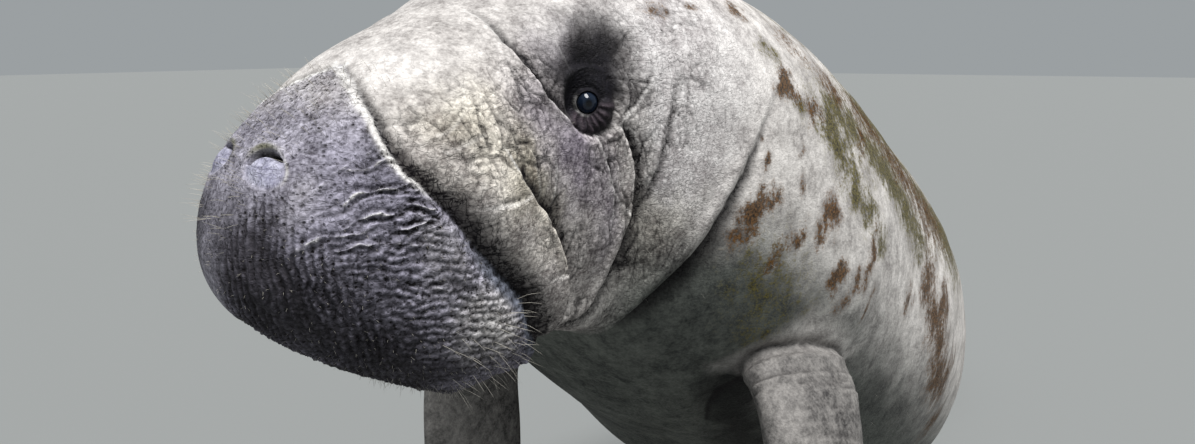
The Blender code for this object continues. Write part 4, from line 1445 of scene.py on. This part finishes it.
def skin_material():
    """Manatee hide, grown: matt and leathery, with dirt in its wrinkles and pores that keep it
    from looking moulded. Painted shade lies in its folds, creases, nostril slits, armpits and eye
    sockets and under its belly, with painted highlights on the folds' and ridges' edges and painted
    top light on upward-turned skin. Algae lie on it in thin rusty and olive patches."""
    sheen = {"Specular IOR Level": 0.22}
    made, tree, shader = new_material("manatee hide, wrinkled", 0.66, ior=1.4, **sheen)
    where = add_node(tree, "TexCoord", out=3)
    marks = {}
    for name in MASKS:
        marks[name] = add_node(tree, "Attribute", attribute_name=name, out=2)
    noises = {}
    for name, (size, detail) in NOISES.items():
        values = {"Vector": where, "Scale": 1000 / size, "Detail": detail, "Roughness": 0.65}
        raw = add_node(tree, "TexNoise", values)
        noises[name] = add_node(tree, "MapRange", {"Value": raw, "From Min": 0.38, "From Max": 0.62})
    swirl = add_node(tree, "TexNoise", {"Vector": where, "Scale": 1000 / SWIRL, "Detail": 3}, out=1)
    values = {0: swirl, 1: (0.007, 0.007, 0.007), 2: where}
    bent = add_node(tree, "VectorMath", values, operation="MULTIPLY_ADD")
    borders = {}
    for name, size in (("pebbles", PEBBLE), ("crackle", CRACKLE)):
        values = {"Vector": bent, "Scale": 1000 / size}
        borders[name] = add_node(tree, "TexVoronoi", values, feature="DISTANCE_TO_EDGE")
    pebbles = add_node(tree, "MapRange", {"Value": borders["pebbles"], "From Max": 0.34})
    values = {"Value": borders["crackle"], "From Max": 0.07, "To Min": 1.0, "To Max": 0.0}
    crackle = add_node(tree, "MapRange", values)
    drawn = add_node(tree, "Mapping", {"Vector": where, "Scale": [1000 / size for size in STREAK]})
    values = {"Vector": drawn, "Scale": 1.0, "Detail": 4, "Roughness": 0.6}
    streaks = add_node(tree, "TexNoise", values)
    streaks = add_node(tree, "MapRange", {"Value": streaks, "From Min": 0.3, "From Max": 0.7})
    wrinkled = 0.0
    for sizes in LINES:
        drawn = add_node(tree, "Mapping", {"Vector": where, "Scale": [1000 / size for size in sizes]})
        values = {"Vector": drawn, "Scale": 1.0, "Detail": 3, "Roughness": 0.55}
        drawn = add_node(tree, "TexNoise", values)
        drawn = add_node(tree, "Math", {0: drawn, 1: 0.5}, operation="SUBTRACT")
        drawn = add_node(tree, "Math", {0: drawn}, operation="ABSOLUTE")
        values = {"Value": drawn, "From Max": 0.020, "To Min": 1.0, "To Max": 0.0}
        drawn = add_node(tree, "MapRange", values)
        wrinkled = add_node(tree, "Math", {0: drawn, 1: wrinkled}, operation="MAXIMUM")

    patterns = {**noises, "pebbles": pebbles, "streaks": streaks, "silt": marks["silt"]}
    tones = {}
    for name, under in (("base", ""), ("face", "base"), ("trunk", "base")):
        tones[name] = tones.get(under, 0.0)
        for pattern, weight in TONES[name]:
            values = {0: patterns[pattern], 1: weight, 2: tones[name]}
            tones[name] = add_node(tree, "Math", values, operation="MULTIPLY_ADD")
    face = add_node(tree, "Math", {0: tones["face"], 1: FACE_DARKER}, operation="SUBTRACT")
    tone = add_node(tree, "Mix", {0: marks["smooth"], 2: face, 3: tones["trunk"]})
    shade = add_node(tree, "Mix", {0: tone, **between("655d5c", "f2ebe6")}, **MIXED_COLOUR)
    for name, dark, pale in ZONES:
        zone = add_node(tree, "Mix", {0: tone, **between(dark, pale)}, **MIXED_COLOUR)
        shade = add_node(tree, "Mix", {0: marks[name], 6: shade, 7: zone}, **MIXED_COLOUR)

    stretch = add_node(tree, "Mapping", {"Vector": where, "Scale": [1000 / size for size in BLOTCH]})
    for name, dark, pale, seed in ALGAE:
        moved = add_node(tree, "VectorMath", {0: stretch, 1: (seed, seed, seed)}, operation="ADD")
        values = {"Vector": moved, "Scale": 1.0, "Detail": 6, "Roughness": 0.66}
        blotches = add_node(tree, "TexNoise", values)
        grown = marks[name]
        for pattern, weight in ((blotches, 2.2), (noises["grain"], 0.42), (noises["lumps"], 0.36)):
            grown = add_node(tree, "Math", {0: pattern, 1: weight, 2: grown}, operation="MULTIPLY_ADD")
        values = {"Value": grown, "From Min": 1.70, "From Max": 2.42, "To Max": 0.94}
        cover = add_node(tree, "MapRange", values)
        values = {"Value": marks[name], "From Min": 0.04, "From Max": 0.30}
        present = add_node(tree, "MapRange", values)
        cover = add_node(tree, "Math", {0: cover, 1: present}, operation="MULTIPLY")
        weed = add_node(tree, "Mix", {0: noises["grain"], **between(dark, pale)}, **MIXED_COLOUR)
        shade = add_node(tree, "Mix", {0: cover, 6: shade, 7: weed}, **MIXED_COLOUR)

    pores = add_node(tree, "TexVoronoi", {"Vector": where, "Scale": 1000 / PORE}, feature="F1")
    values = {"Value": pores, "From Min": 0.10, "From Max": 0.30, "To Min": 1.0, "To Max": 0.0}
    pores = add_node(tree, "MapRange", values)
    values = {0: marks["muzzle"], 1: marks["flap"]}
    bare = add_node(tree, "Math", values, operation="SUBTRACT", use_clamp=True)
    pits = add_node(tree, "Math", {0: pores, 1: bare}, operation="MULTIPLY")
    relief = add_node(tree, "Math", {0: noises["grain"], 1: 0.22}, operation="MULTIPLY")
    sums = {"dirt_and_shade": 0.0, "relief": relief}
    for name, pattern, on_face, on_trunk in (
        ("dirt_and_shade", crackle, 0.16, 0.08),
        ("dirt_and_shade", wrinkled, 0.28, 0.08),
        ("relief", pebbles, 0.30, 0.04),
        ("relief", wrinkled, -0.30, -0.10),
    ):
        values = {"Value": marks["smooth"], "To Min": on_face, "To Max": on_trunk}
        shown = add_node(tree, "MapRange", values)
        values = {0: pattern, 1: shown, 2: sums[name]}
        sums[name] = add_node(tree, "Math", values, operation="MULTIPLY_ADD")
    # Painted shade in the folds, creases, wrinkle valleys and nostril slits darkens the hide along with its
    # dirt.
    for name, pattern, weight in (
        ("dirt_and_shade", pits, 0.45),
        ("dirt_and_shade", marks["crack"], 0.60),
        ("dirt_and_shade", marks["cavity"], 0.85),
        ("dirt_and_shade", marks["slit"], 0.95),
        ("relief", pits, -0.8),
    ):
        values = {0: pattern, 1: weight, 2: sums[name]}
        sums[name] = add_node(tree, "Math", values, operation="MULTIPLY_ADD")
    dirt_and_shade = add_node(tree, "Clamp", {0: sums["dirt_and_shade"]})
    shade = add_node(tree, "Mix", {0: dirt_and_shade, 6: shade, 7: colour("151214")}, **MIXED_COLOUR)
    tree.links.new(shade, shader.inputs["Base Color"])
    gloss = add_node(tree, "MapRange", {"Value": noises["grain"], "To Min": 0.76, "To Max": 0.56})
    tree.links.new(gloss, shader.inputs["Roughness"])
    bump = add_node(tree, "Bump", {"Height": sums["relief"], "Distance": 1.0 * MM, "Strength": 1.0})
    tree.links.new(bump, shader.inputs["Normal"])
    return made


# The flat layout, in shares of its width and height: where the body and the limbs lie across it,
# as (start, width), and the heights that the head ends at and the limbs start at
BODY_STRIP, LIMB_STRIP = (0.01, 0.76), (0.80, 0.18)
HEAD_LENGTH, HEAD_TOP, LAYOUT_EDGE = 0.6, 0.56, 0.01
LIMB_STARTS, LIMB_HEIGHT = {"left": 0.02, "right": 0.52}, 0.42


def close_round(angle, low):
    """The angles of each face's corners without the jump where a turn ends."""
    crossing = angle.max(1) - angle.min(1) > 180
    return np.where(crossing[:, None] & (angle < low), angle + 360, angle)


def bake_map(mesh, corners):
    """Lays the skin out flat: the body by angle and distance, and a strip for each limb."""
    run, head = over_skin(RINGS), over_skin(HEAD_LENGTH)
    heights = [LAYOUT_EDGE, HEAD_TOP, 1 - LAYOUT_EDGE]
    v = np.interp(DISTANCE, RINGS, np.interp(run, [0, head, run[-1]], heights))[corners]
    start, width = BODY_STRIP
    u = start + width * (close_round(ANGLE[corners], 0) + 180) / 360
    for side, shape in FLIPPERS.items():
        share, turn = np.zeros(len(BASE)), np.zeros(len(BASE))
        rows = shape.rows[FLIPPER_BLEND_RINGS - 1 :]
        share[rows[1:]], turn[rows[1:]] = shape.shares, shape.turns
        share[rows[0]], turn[rows[0]] = shape.shares[0] - SHARE_STEP, shape.turns[0]
        share[shape.tip_number] = 1.0
        blade = np.zeros(len(BASE), bool)
        blade[rows] = blade[shape.tip_number] = True
        mine = blade[corners].all(1)
        start, width = LIMB_STRIP
        u[mine] = start + width * close_round(turn[corners[mine]] % 360, 180) / 400
        v[mine] = LIMB_STARTS[side] + LIMB_HEIGHT * share[corners[mine]]
    flat = np.stack([u, v], -1)
    lay_flat(mesh, corners, flat)
    places = np.zeros((len(BASE), 2))
    places[corners.ravel()] = flat.reshape(-1, 2)
    return places


used = np.zeros(len(POINTS), bool)
used[CORNERS.ravel()] = True
renumber = np.cumsum(used) - 1
skin_mesh = mesh_from("skin", POINTS[used], renumber[CORNERS])
BAKE_PLACES = bake_map(skin_mesh, CORNERS)
mark_points(skin_mesh, {name: values[used] for name, values in MASKS.items()})
add_piece("skin", skin_mesh, skin_material(), "skin", *FLESH)


# --- Eyes ---

EYE_AROUND = 64
# Degrees from the middle of the gaze over which each part of the eye gives way to the next
EYE_EDGES = {"iris": (38, 58), "pupil": (8, 22)}


def make_eye(side):
    """An eyeball with a cornea that stands out in front of a dark iris and a pupil."""
    eye = OPENINGS["eye", side]
    tailward, out = looking(eye)
    centre = eye.home - eye.out * EYE_DEPTH
    tilt = np.radians(np.concatenate([np.linspace(0, 60, 31)[1:], np.linspace(66, 174, 19)]))
    turn = np.arange(EYE_AROUND) * math.tau / EYE_AROUND
    radius = EYE_RADIUS + CORNEA_RISE * np.exp(-((np.degrees(tilt) / 30) ** 4))
    spoke = np.cos(turn)[:, None] * eye.down + np.sin(turn)[:, None] * tailward
    rows = radius[:, None, None] * (
        np.sin(tilt)[:, None, None] * spoke + np.cos(tilt)[:, None, None] * out
    )
    ends = [out * (EYE_RADIUS + CORNEA_RISE), -out * EYE_RADIUS]
    points = np.concatenate([rows.reshape(-1, 3), ends])
    mesh = round_piece("eyeball_" + side, points + centre, len(tilt), EYE_AROUND)
    away = np.degrees(np.concatenate([np.repeat(tilt, EYE_AROUND), [0, math.pi]]))
    mark_points(mesh, {name: 1 - ease(away, *edge) for name, edge in EYE_EDGES.items()})
    add_piece("eyeball_" + side, mesh, EYE, "eye", "eye_" + side)


def eye_material():
    """A wet eyeball: nearly black, with a deep navy iris and a sharp glint."""
    made, tree, shader = new_material("wet eyeball", 0.10, ior=1.38)
    where = add_node(tree, "TexCoord", out=3)
    shreds = add_node(tree, "TexNoise", {"Vector": where, "Scale": 1000 / 1.6, "Detail": 3})
    white = add_node(tree, "Mix", {0: shreds, **between("08090d", "181a22")}, **MIXED_COLOUR)
    iris = add_node(tree, "Mix", {0: shreds, **between("080c14", "1a2638")}, **MIXED_COLOUR)
    for name, tint in (("iris", iris), ("pupil", colour("020306"))):
        mark = add_node(tree, "Attribute", attribute_name=name, out=2)
        white = add_node(tree, "Mix", {0: mark, 6: white, 7: tint}, **MIXED_COLOUR)
    tree.links.new(white, shader.inputs["Base Color"])
    return made


EYE = eye_material()
for side in ("left", "right"):
    make_eye(side)


# --- Nails ---

NAIL_RINGS, NAIL_AROUND = 31, 48


def nail_material():
    """Nail, a horn that grows in layers: translucent greyish brown, satin, with faint bands."""
    made, tree, shader = new_material("horn nail, grown", 0.38, ior=1.55)
    where = add_node(tree, "TexCoord", out=3)
    cloud = add_node(tree, "TexNoise", {"Vector": where, "Scale": 1000 / 5, "Detail": 3})
    tint = add_node(tree, "Mix", {0: cloud, **between("5a4d40", "b8a993")}, **MIXED_COLOUR)
    tree.links.new(tint, shader.inputs["Base Color"])
    layers = add_node(tree, "TexNoise", {"Vector": where, "Scale": 1000 / 1.2, "Detail": 1})
    bump = add_node(tree, "Bump", {"Height": layers, "Distance": 0.2 * MM})
    tree.links.new(bump, shader.inputs["Normal"])
    return made


def make_nail(side, number, material):
    """A nail: a low arched plate with growth bands and a worn free edge towards the tip."""
    shape = FLIPPERS[side]
    across, out = shape.directions(np.array(NAIL_SHARE))
    along = np.cross(across, out) * shape.sign
    top = shape.middle(np.array(NAIL_SHARE)) + out * shape.thickness(NAIL_SHARE)
    centre = top + across * NAIL_SPREAD * (number - 2) - out * NAIL_SINK
    wide, long, thick = NAIL_SIZE
    tilt = np.linspace(0, math.pi, NAIL_RINGS + 2)[1:-1]
    turn = np.arange(NAIL_AROUND) * math.tau / NAIL_AROUND
    tilt, turn = np.meshgrid(tilt, turn, indexing="ij")
    x, y, z = np.sin(tilt) * np.cos(turn), np.sin(tilt) * np.sin(turn), np.cos(tilt)
    z = np.sign(z) * abs(z) ** 0.8
    z = z + (0.05 * np.cos(9 * y) + 0.06 * ease(y, 0.55, 0.85)) * (z > 0)
    plate = np.stack([x, y, z], -1).reshape(-1, 3)
    plate = np.concatenate([plate, [(0, 0, 1), (0, 0, -1)]])
    points = centre + plate * (wide, long, thick) @ np.stack([across, along, out])
    name = f"nail_{side}_{number}"
    mesh = round_piece("horn_" + name, points, NAIL_RINGS, NAIL_AROUND)
    add_piece("horn_" + name, mesh, material, "nail", name)


NAIL = nail_material()
for side in ("left", "right"):
    for number in (1, 2, 3):
        make_nail(side, number, NAIL)

# --- Bristles and hairs ---

# (name, how many, shortest and longest in mm, root's radius in mm, lean towards the tail, lean
# downwards, and where they grow: distances from and to, angles from and to)
HAIRS = [
    ("muzzle_bristles", 900, 1.5, 3.6, 0.12, 0.20, 0.10, (0.002, 0.125, 8, 176)),
    ("muzzle_top_hairs", 220, 7.0, 15.0, 0.18, -0.15, -0.15, (0.030, 0.140, -50, 28)),
    ("lip_bristles", 80, 12.0, 23.0, 0.20, 0.75, 0.45, (0.070, 0.150, 114, 150)),
    ("chin_bristles", 130, 4.0, 9.0, 0.15, 0.20, 0.30, (0.020, 0.120, 140, 180)),
    ("body_hairs", 700, 5.0, 9.0, 0.09, 0.60, 0.20, (0.160, 2.300, 0, 150)),
]
HAIR_STEPS = (0.0, 0.40, 0.75)  # shares of a hair's length where its rings lie
HAIR_PATCH = 0.0028  # width of a hair's place in the flat layout
# No hair grows where one of these masks is this strong or stronger
HAIRLESS = {"cavity": 0.2, "slit": 0.05, "flap": 0.3, "lid": 0.1}


def hair_material():
    """Sensory hair, grown keratin: pale, stiff and a little glossy."""
    made, tree, shader = new_material("keratin bristle, grown", 0.42, ior=1.55)
    where = add_node(tree, "TexCoord", out=3)
    cloud = add_node(tree, "TexNoise", {"Vector": where, "Scale": 1000 / 18, "Detail": 2})
    tint = add_node(tree, "Mix", {0: cloud, **between("8b857b", "d9d3c7")}, **MIXED_COLOUR)
    tree.links.new(tint, shader.inputs["Base Color"])
    return made


def make_hairs(name, count, shortest, longest, radius, tailward, downward, area, seed):
    """Single hairs as tapering three-sided prisms that stand on the skin's own points."""
    start, end, low, high = area
    rng = np.random.default_rng(seed)
    angle = ANGLE if low < 0 else ROUND
    grown = (DISTANCE > start) & (DISTANCE < end) & (angle > low) & (angle < high) & (LIMB == 0)
    for mask, most in HAIRLESS.items():
        grown &= MASKS[mask] < most
    for side in ("left", "right"):
        eye = OPENINGS["eye", side]
        grown &= np.linalg.norm(BASE - eye.home, axis=1) > 0.030
    able = grown.nonzero()[0]
    roots = able[rng.choice(len(able), count, replace=False, p=AREAS[able] / AREAS[able].sum())]
    size = rng.uniform(shortest, longest, count) * MM
    way = SPINE.read(SPINE.tailward, DISTANCE[roots]) * tailward + np.array((0, 0, -downward))
    way = unit(NORMALS[roots] + way + rng.normal(0, 0.16, (count, 3)))
    droop = rng.normal(0, 0.10, (count, 3)) + (0, 0, -0.12)
    first = unit(np.cross(way, (0.3, 0.5, 0.8)))
    second = np.cross(way, first)
    rings = []
    for step in HAIR_STEPS:
        middle = POINTS[roots] + way * (step * size - 0.4 * MM * (step == 0))[:, None]
        middle = middle + droop * (step**2 * size)[:, None]
        for corner in range(3):
            turn = corner * math.tau / 3
            spoke = first * math.cos(turn) + second * math.sin(turn)
            rings.append(middle + spoke * radius * MM * (1 - 0.75 * step))
    tips = POINTS[roots] + (way + droop) * size[:, None]
    points = np.stack(rings + [tips], 1)
    faces = [(2, 1, 0, 0)]
    for ring in (0, 3):
        for k, after in ((0, 1), (1, 2), (2, 0)):
            faces.append((ring + k, ring + after, ring + 3 + after, ring + 3 + k))
    faces += [(6 + k, 6 + (k + 1) % 3, 9, 9) for k in range(3)]
    corners = (np.arange(count)[:, None, None] * 10 + np.array(faces)).reshape(-1, 4)
    mesh = mesh_from(name, points.reshape(-1, 3), corners)
    flat = np.array([(k % 3 / 2, k // 3 / 3) for k in range(9)] + [(0.5, 1.0)]) * HAIR_PATCH
    places = (BAKE_PLACES[roots][:, None] + flat).reshape(-1, 2)
    lay_flat(mesh, corners, places[corners])
    add_piece(name, mesh, HAIR, "muzzle_skin")


AREAS = point_areas(POINTS, CORNERS)
HAIR = hair_material()
for seed, (name, *values) in enumerate(HAIRS):
    make_hairs(name, *values, seed)

# --- The display stand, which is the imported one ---


def board_material():
    """Ash board, stained dark and matt lacquered: open grain along its length under a soft sheen."""
    made, tree, shader = new_material("stained ash board, matt lacquer", 0.48)
    where = add_node(tree, "TexCoord", out=3)
    grain = add_node(tree, "Mapping", {"Vector": where, "Scale": (1000 / 9, 1000 / 260, 1000 / 9)})
    lines = add_node(tree, "TexNoise", {"Vector": grain, "Scale": 1.0, "Detail": 6, "Roughness": 0.6})
    fibres = add_node(tree, "Mapping", {"Vector": where, "Scale": (1000 / 1.6, 1000 / 45, 1000 / 1.6)})
    pores = add_node(tree, "TexNoise", {"Vector": fibres, "Scale": 1.0, "Detail": 3})
    mixed = add_node(tree, "Math", {0: pores, 1: 0.35, 2: lines}, operation="MULTIPLY_ADD")
    tone = add_node(tree, "MapRange", {"Value": mixed, "From Min": 0.5, "From Max": 0.85})
    tint = add_node(tree, "Mix", {0: tone, **between("221c19", "4f453e")}, **MIXED_COLOUR)
    tree.links.new(tint, shader.inputs["Base Color"])
    bump = add_node(tree, "Bump", {"Height": mixed, "Distance": 0.25 * MM, "Strength": 0.8})
    tree.links.new(bump, shader.inputs["Normal"])
    return made


def steel_material():
    """Stainless steel, brushed round the rod: fine lines that draw its reflections out."""
    made, tree, shader = new_material("stainless steel, brushed", 0.34, metallic=1.0)
    where = add_node(tree, "TexCoord", out=3)
    brushed = add_node(tree, "Mapping", {"Vector": where, "Scale": (1000 / 30, 1000 / 30, 1000 / 0.9)})
    lines = add_node(tree, "TexNoise", {"Vector": brushed, "Scale": 1.0, "Detail": 4})
    tint = add_node(tree, "Mix", {0: lines, **between("a3a2a0", "d3d2cf")}, **MIXED_COLOUR)
    tree.links.new(tint, shader.inputs["Base Color"])
    rough = add_node(tree, "MapRange", {"Value": lines, "To Min": 0.24, "To Max": 0.44})
    tree.links.new(rough, shader.inputs["Roughness"])
    bump = add_node(tree, "Bump", {"Height": lines, "Distance": 0.05 * MM})
    tree.links.new(bump, shader.inputs["Normal"])
    return made


BOARD, STEEL = board_material(), steel_material()
for node, material in (("stand_base", BOARD), ("stand_rod_front", STEEL), ("stand_rod_rear", STEEL)):
    for place in bpy.data.objects[node].material_slots:
        place.material = material


# --- Floor, light and camera ---

CAMERA_PLACE = (0.363, -1.471, 1.138)
CAMERA_TURN, CAMERA_PITCH, CAMERA_LENS = 26.2, 12.0, 24.43

camera = bpy.data.objects.new("camera", bpy.data.cameras.new("camera"))
camera.data.lens = CAMERA_LENS
camera.data.sensor_width = 36
camera.location = CAMERA_PLACE
camera.rotation_euler = (math.radians(90 - CAMERA_PITCH), 0, math.radians(CAMERA_TURN))
bpy.context.scene.collection.objects.link(camera)
bpy.context.scene.camera = camera

FLOOR_HALF = 40.0
floor_corners = [(x * FLOOR_HALF, y * FLOOR_HALF, 0) for x, y in ((-1, -1), (1, -1), (1, 1), (-1, 1))]
floor_mesh = bpy.data.meshes.new("floor")
floor_mesh.from_pydata(floor_corners, [], [(0, 1, 2, 3)])
floor = bpy.data.objects.new("floor", floor_mesh)
floor_material, _, floor_shader = new_material("studio floor, matt paint", 0.7)
floor_shader.inputs["Base Color"].default_value = colour("7d7f7e")
floor_mesh.materials.append(floor_material)
bpy.context.scene.collection.objects.link(floor)

world = bpy.data.worlds.new("studio")
world.use_nodes = True
world.node_tree.nodes["Background"].inputs["Color"].default_value = colour("c6cccf")
world.node_tree.nodes["Background"].inputs["Strength"].default_value = 0.58
bpy.context.scene.world = world


KEY_PLACE, KEY_AIM, KEY_SPREAD, KEY_POWER = (1.20, -1.35, 4.28), (0, -0.3, 0.6), 30, 5.0
light = bpy.data.lights.new("key light, high on the left", "SUN")
light.angle = math.radians(KEY_SPREAD)
light.energy = KEY_POWER
lamp = bpy.data.objects.new(light.name, light)
lamp.location = KEY_PLACE
lamp.rotation_euler = (Vector(KEY_AIM) - Vector(KEY_PLACE)).to_track_quat("-Z", "Y").to_euler()
bpy.context.scene.collection.objects.link(lamp)
bpy.context.scene.view_settings.view_transform = "Standard"
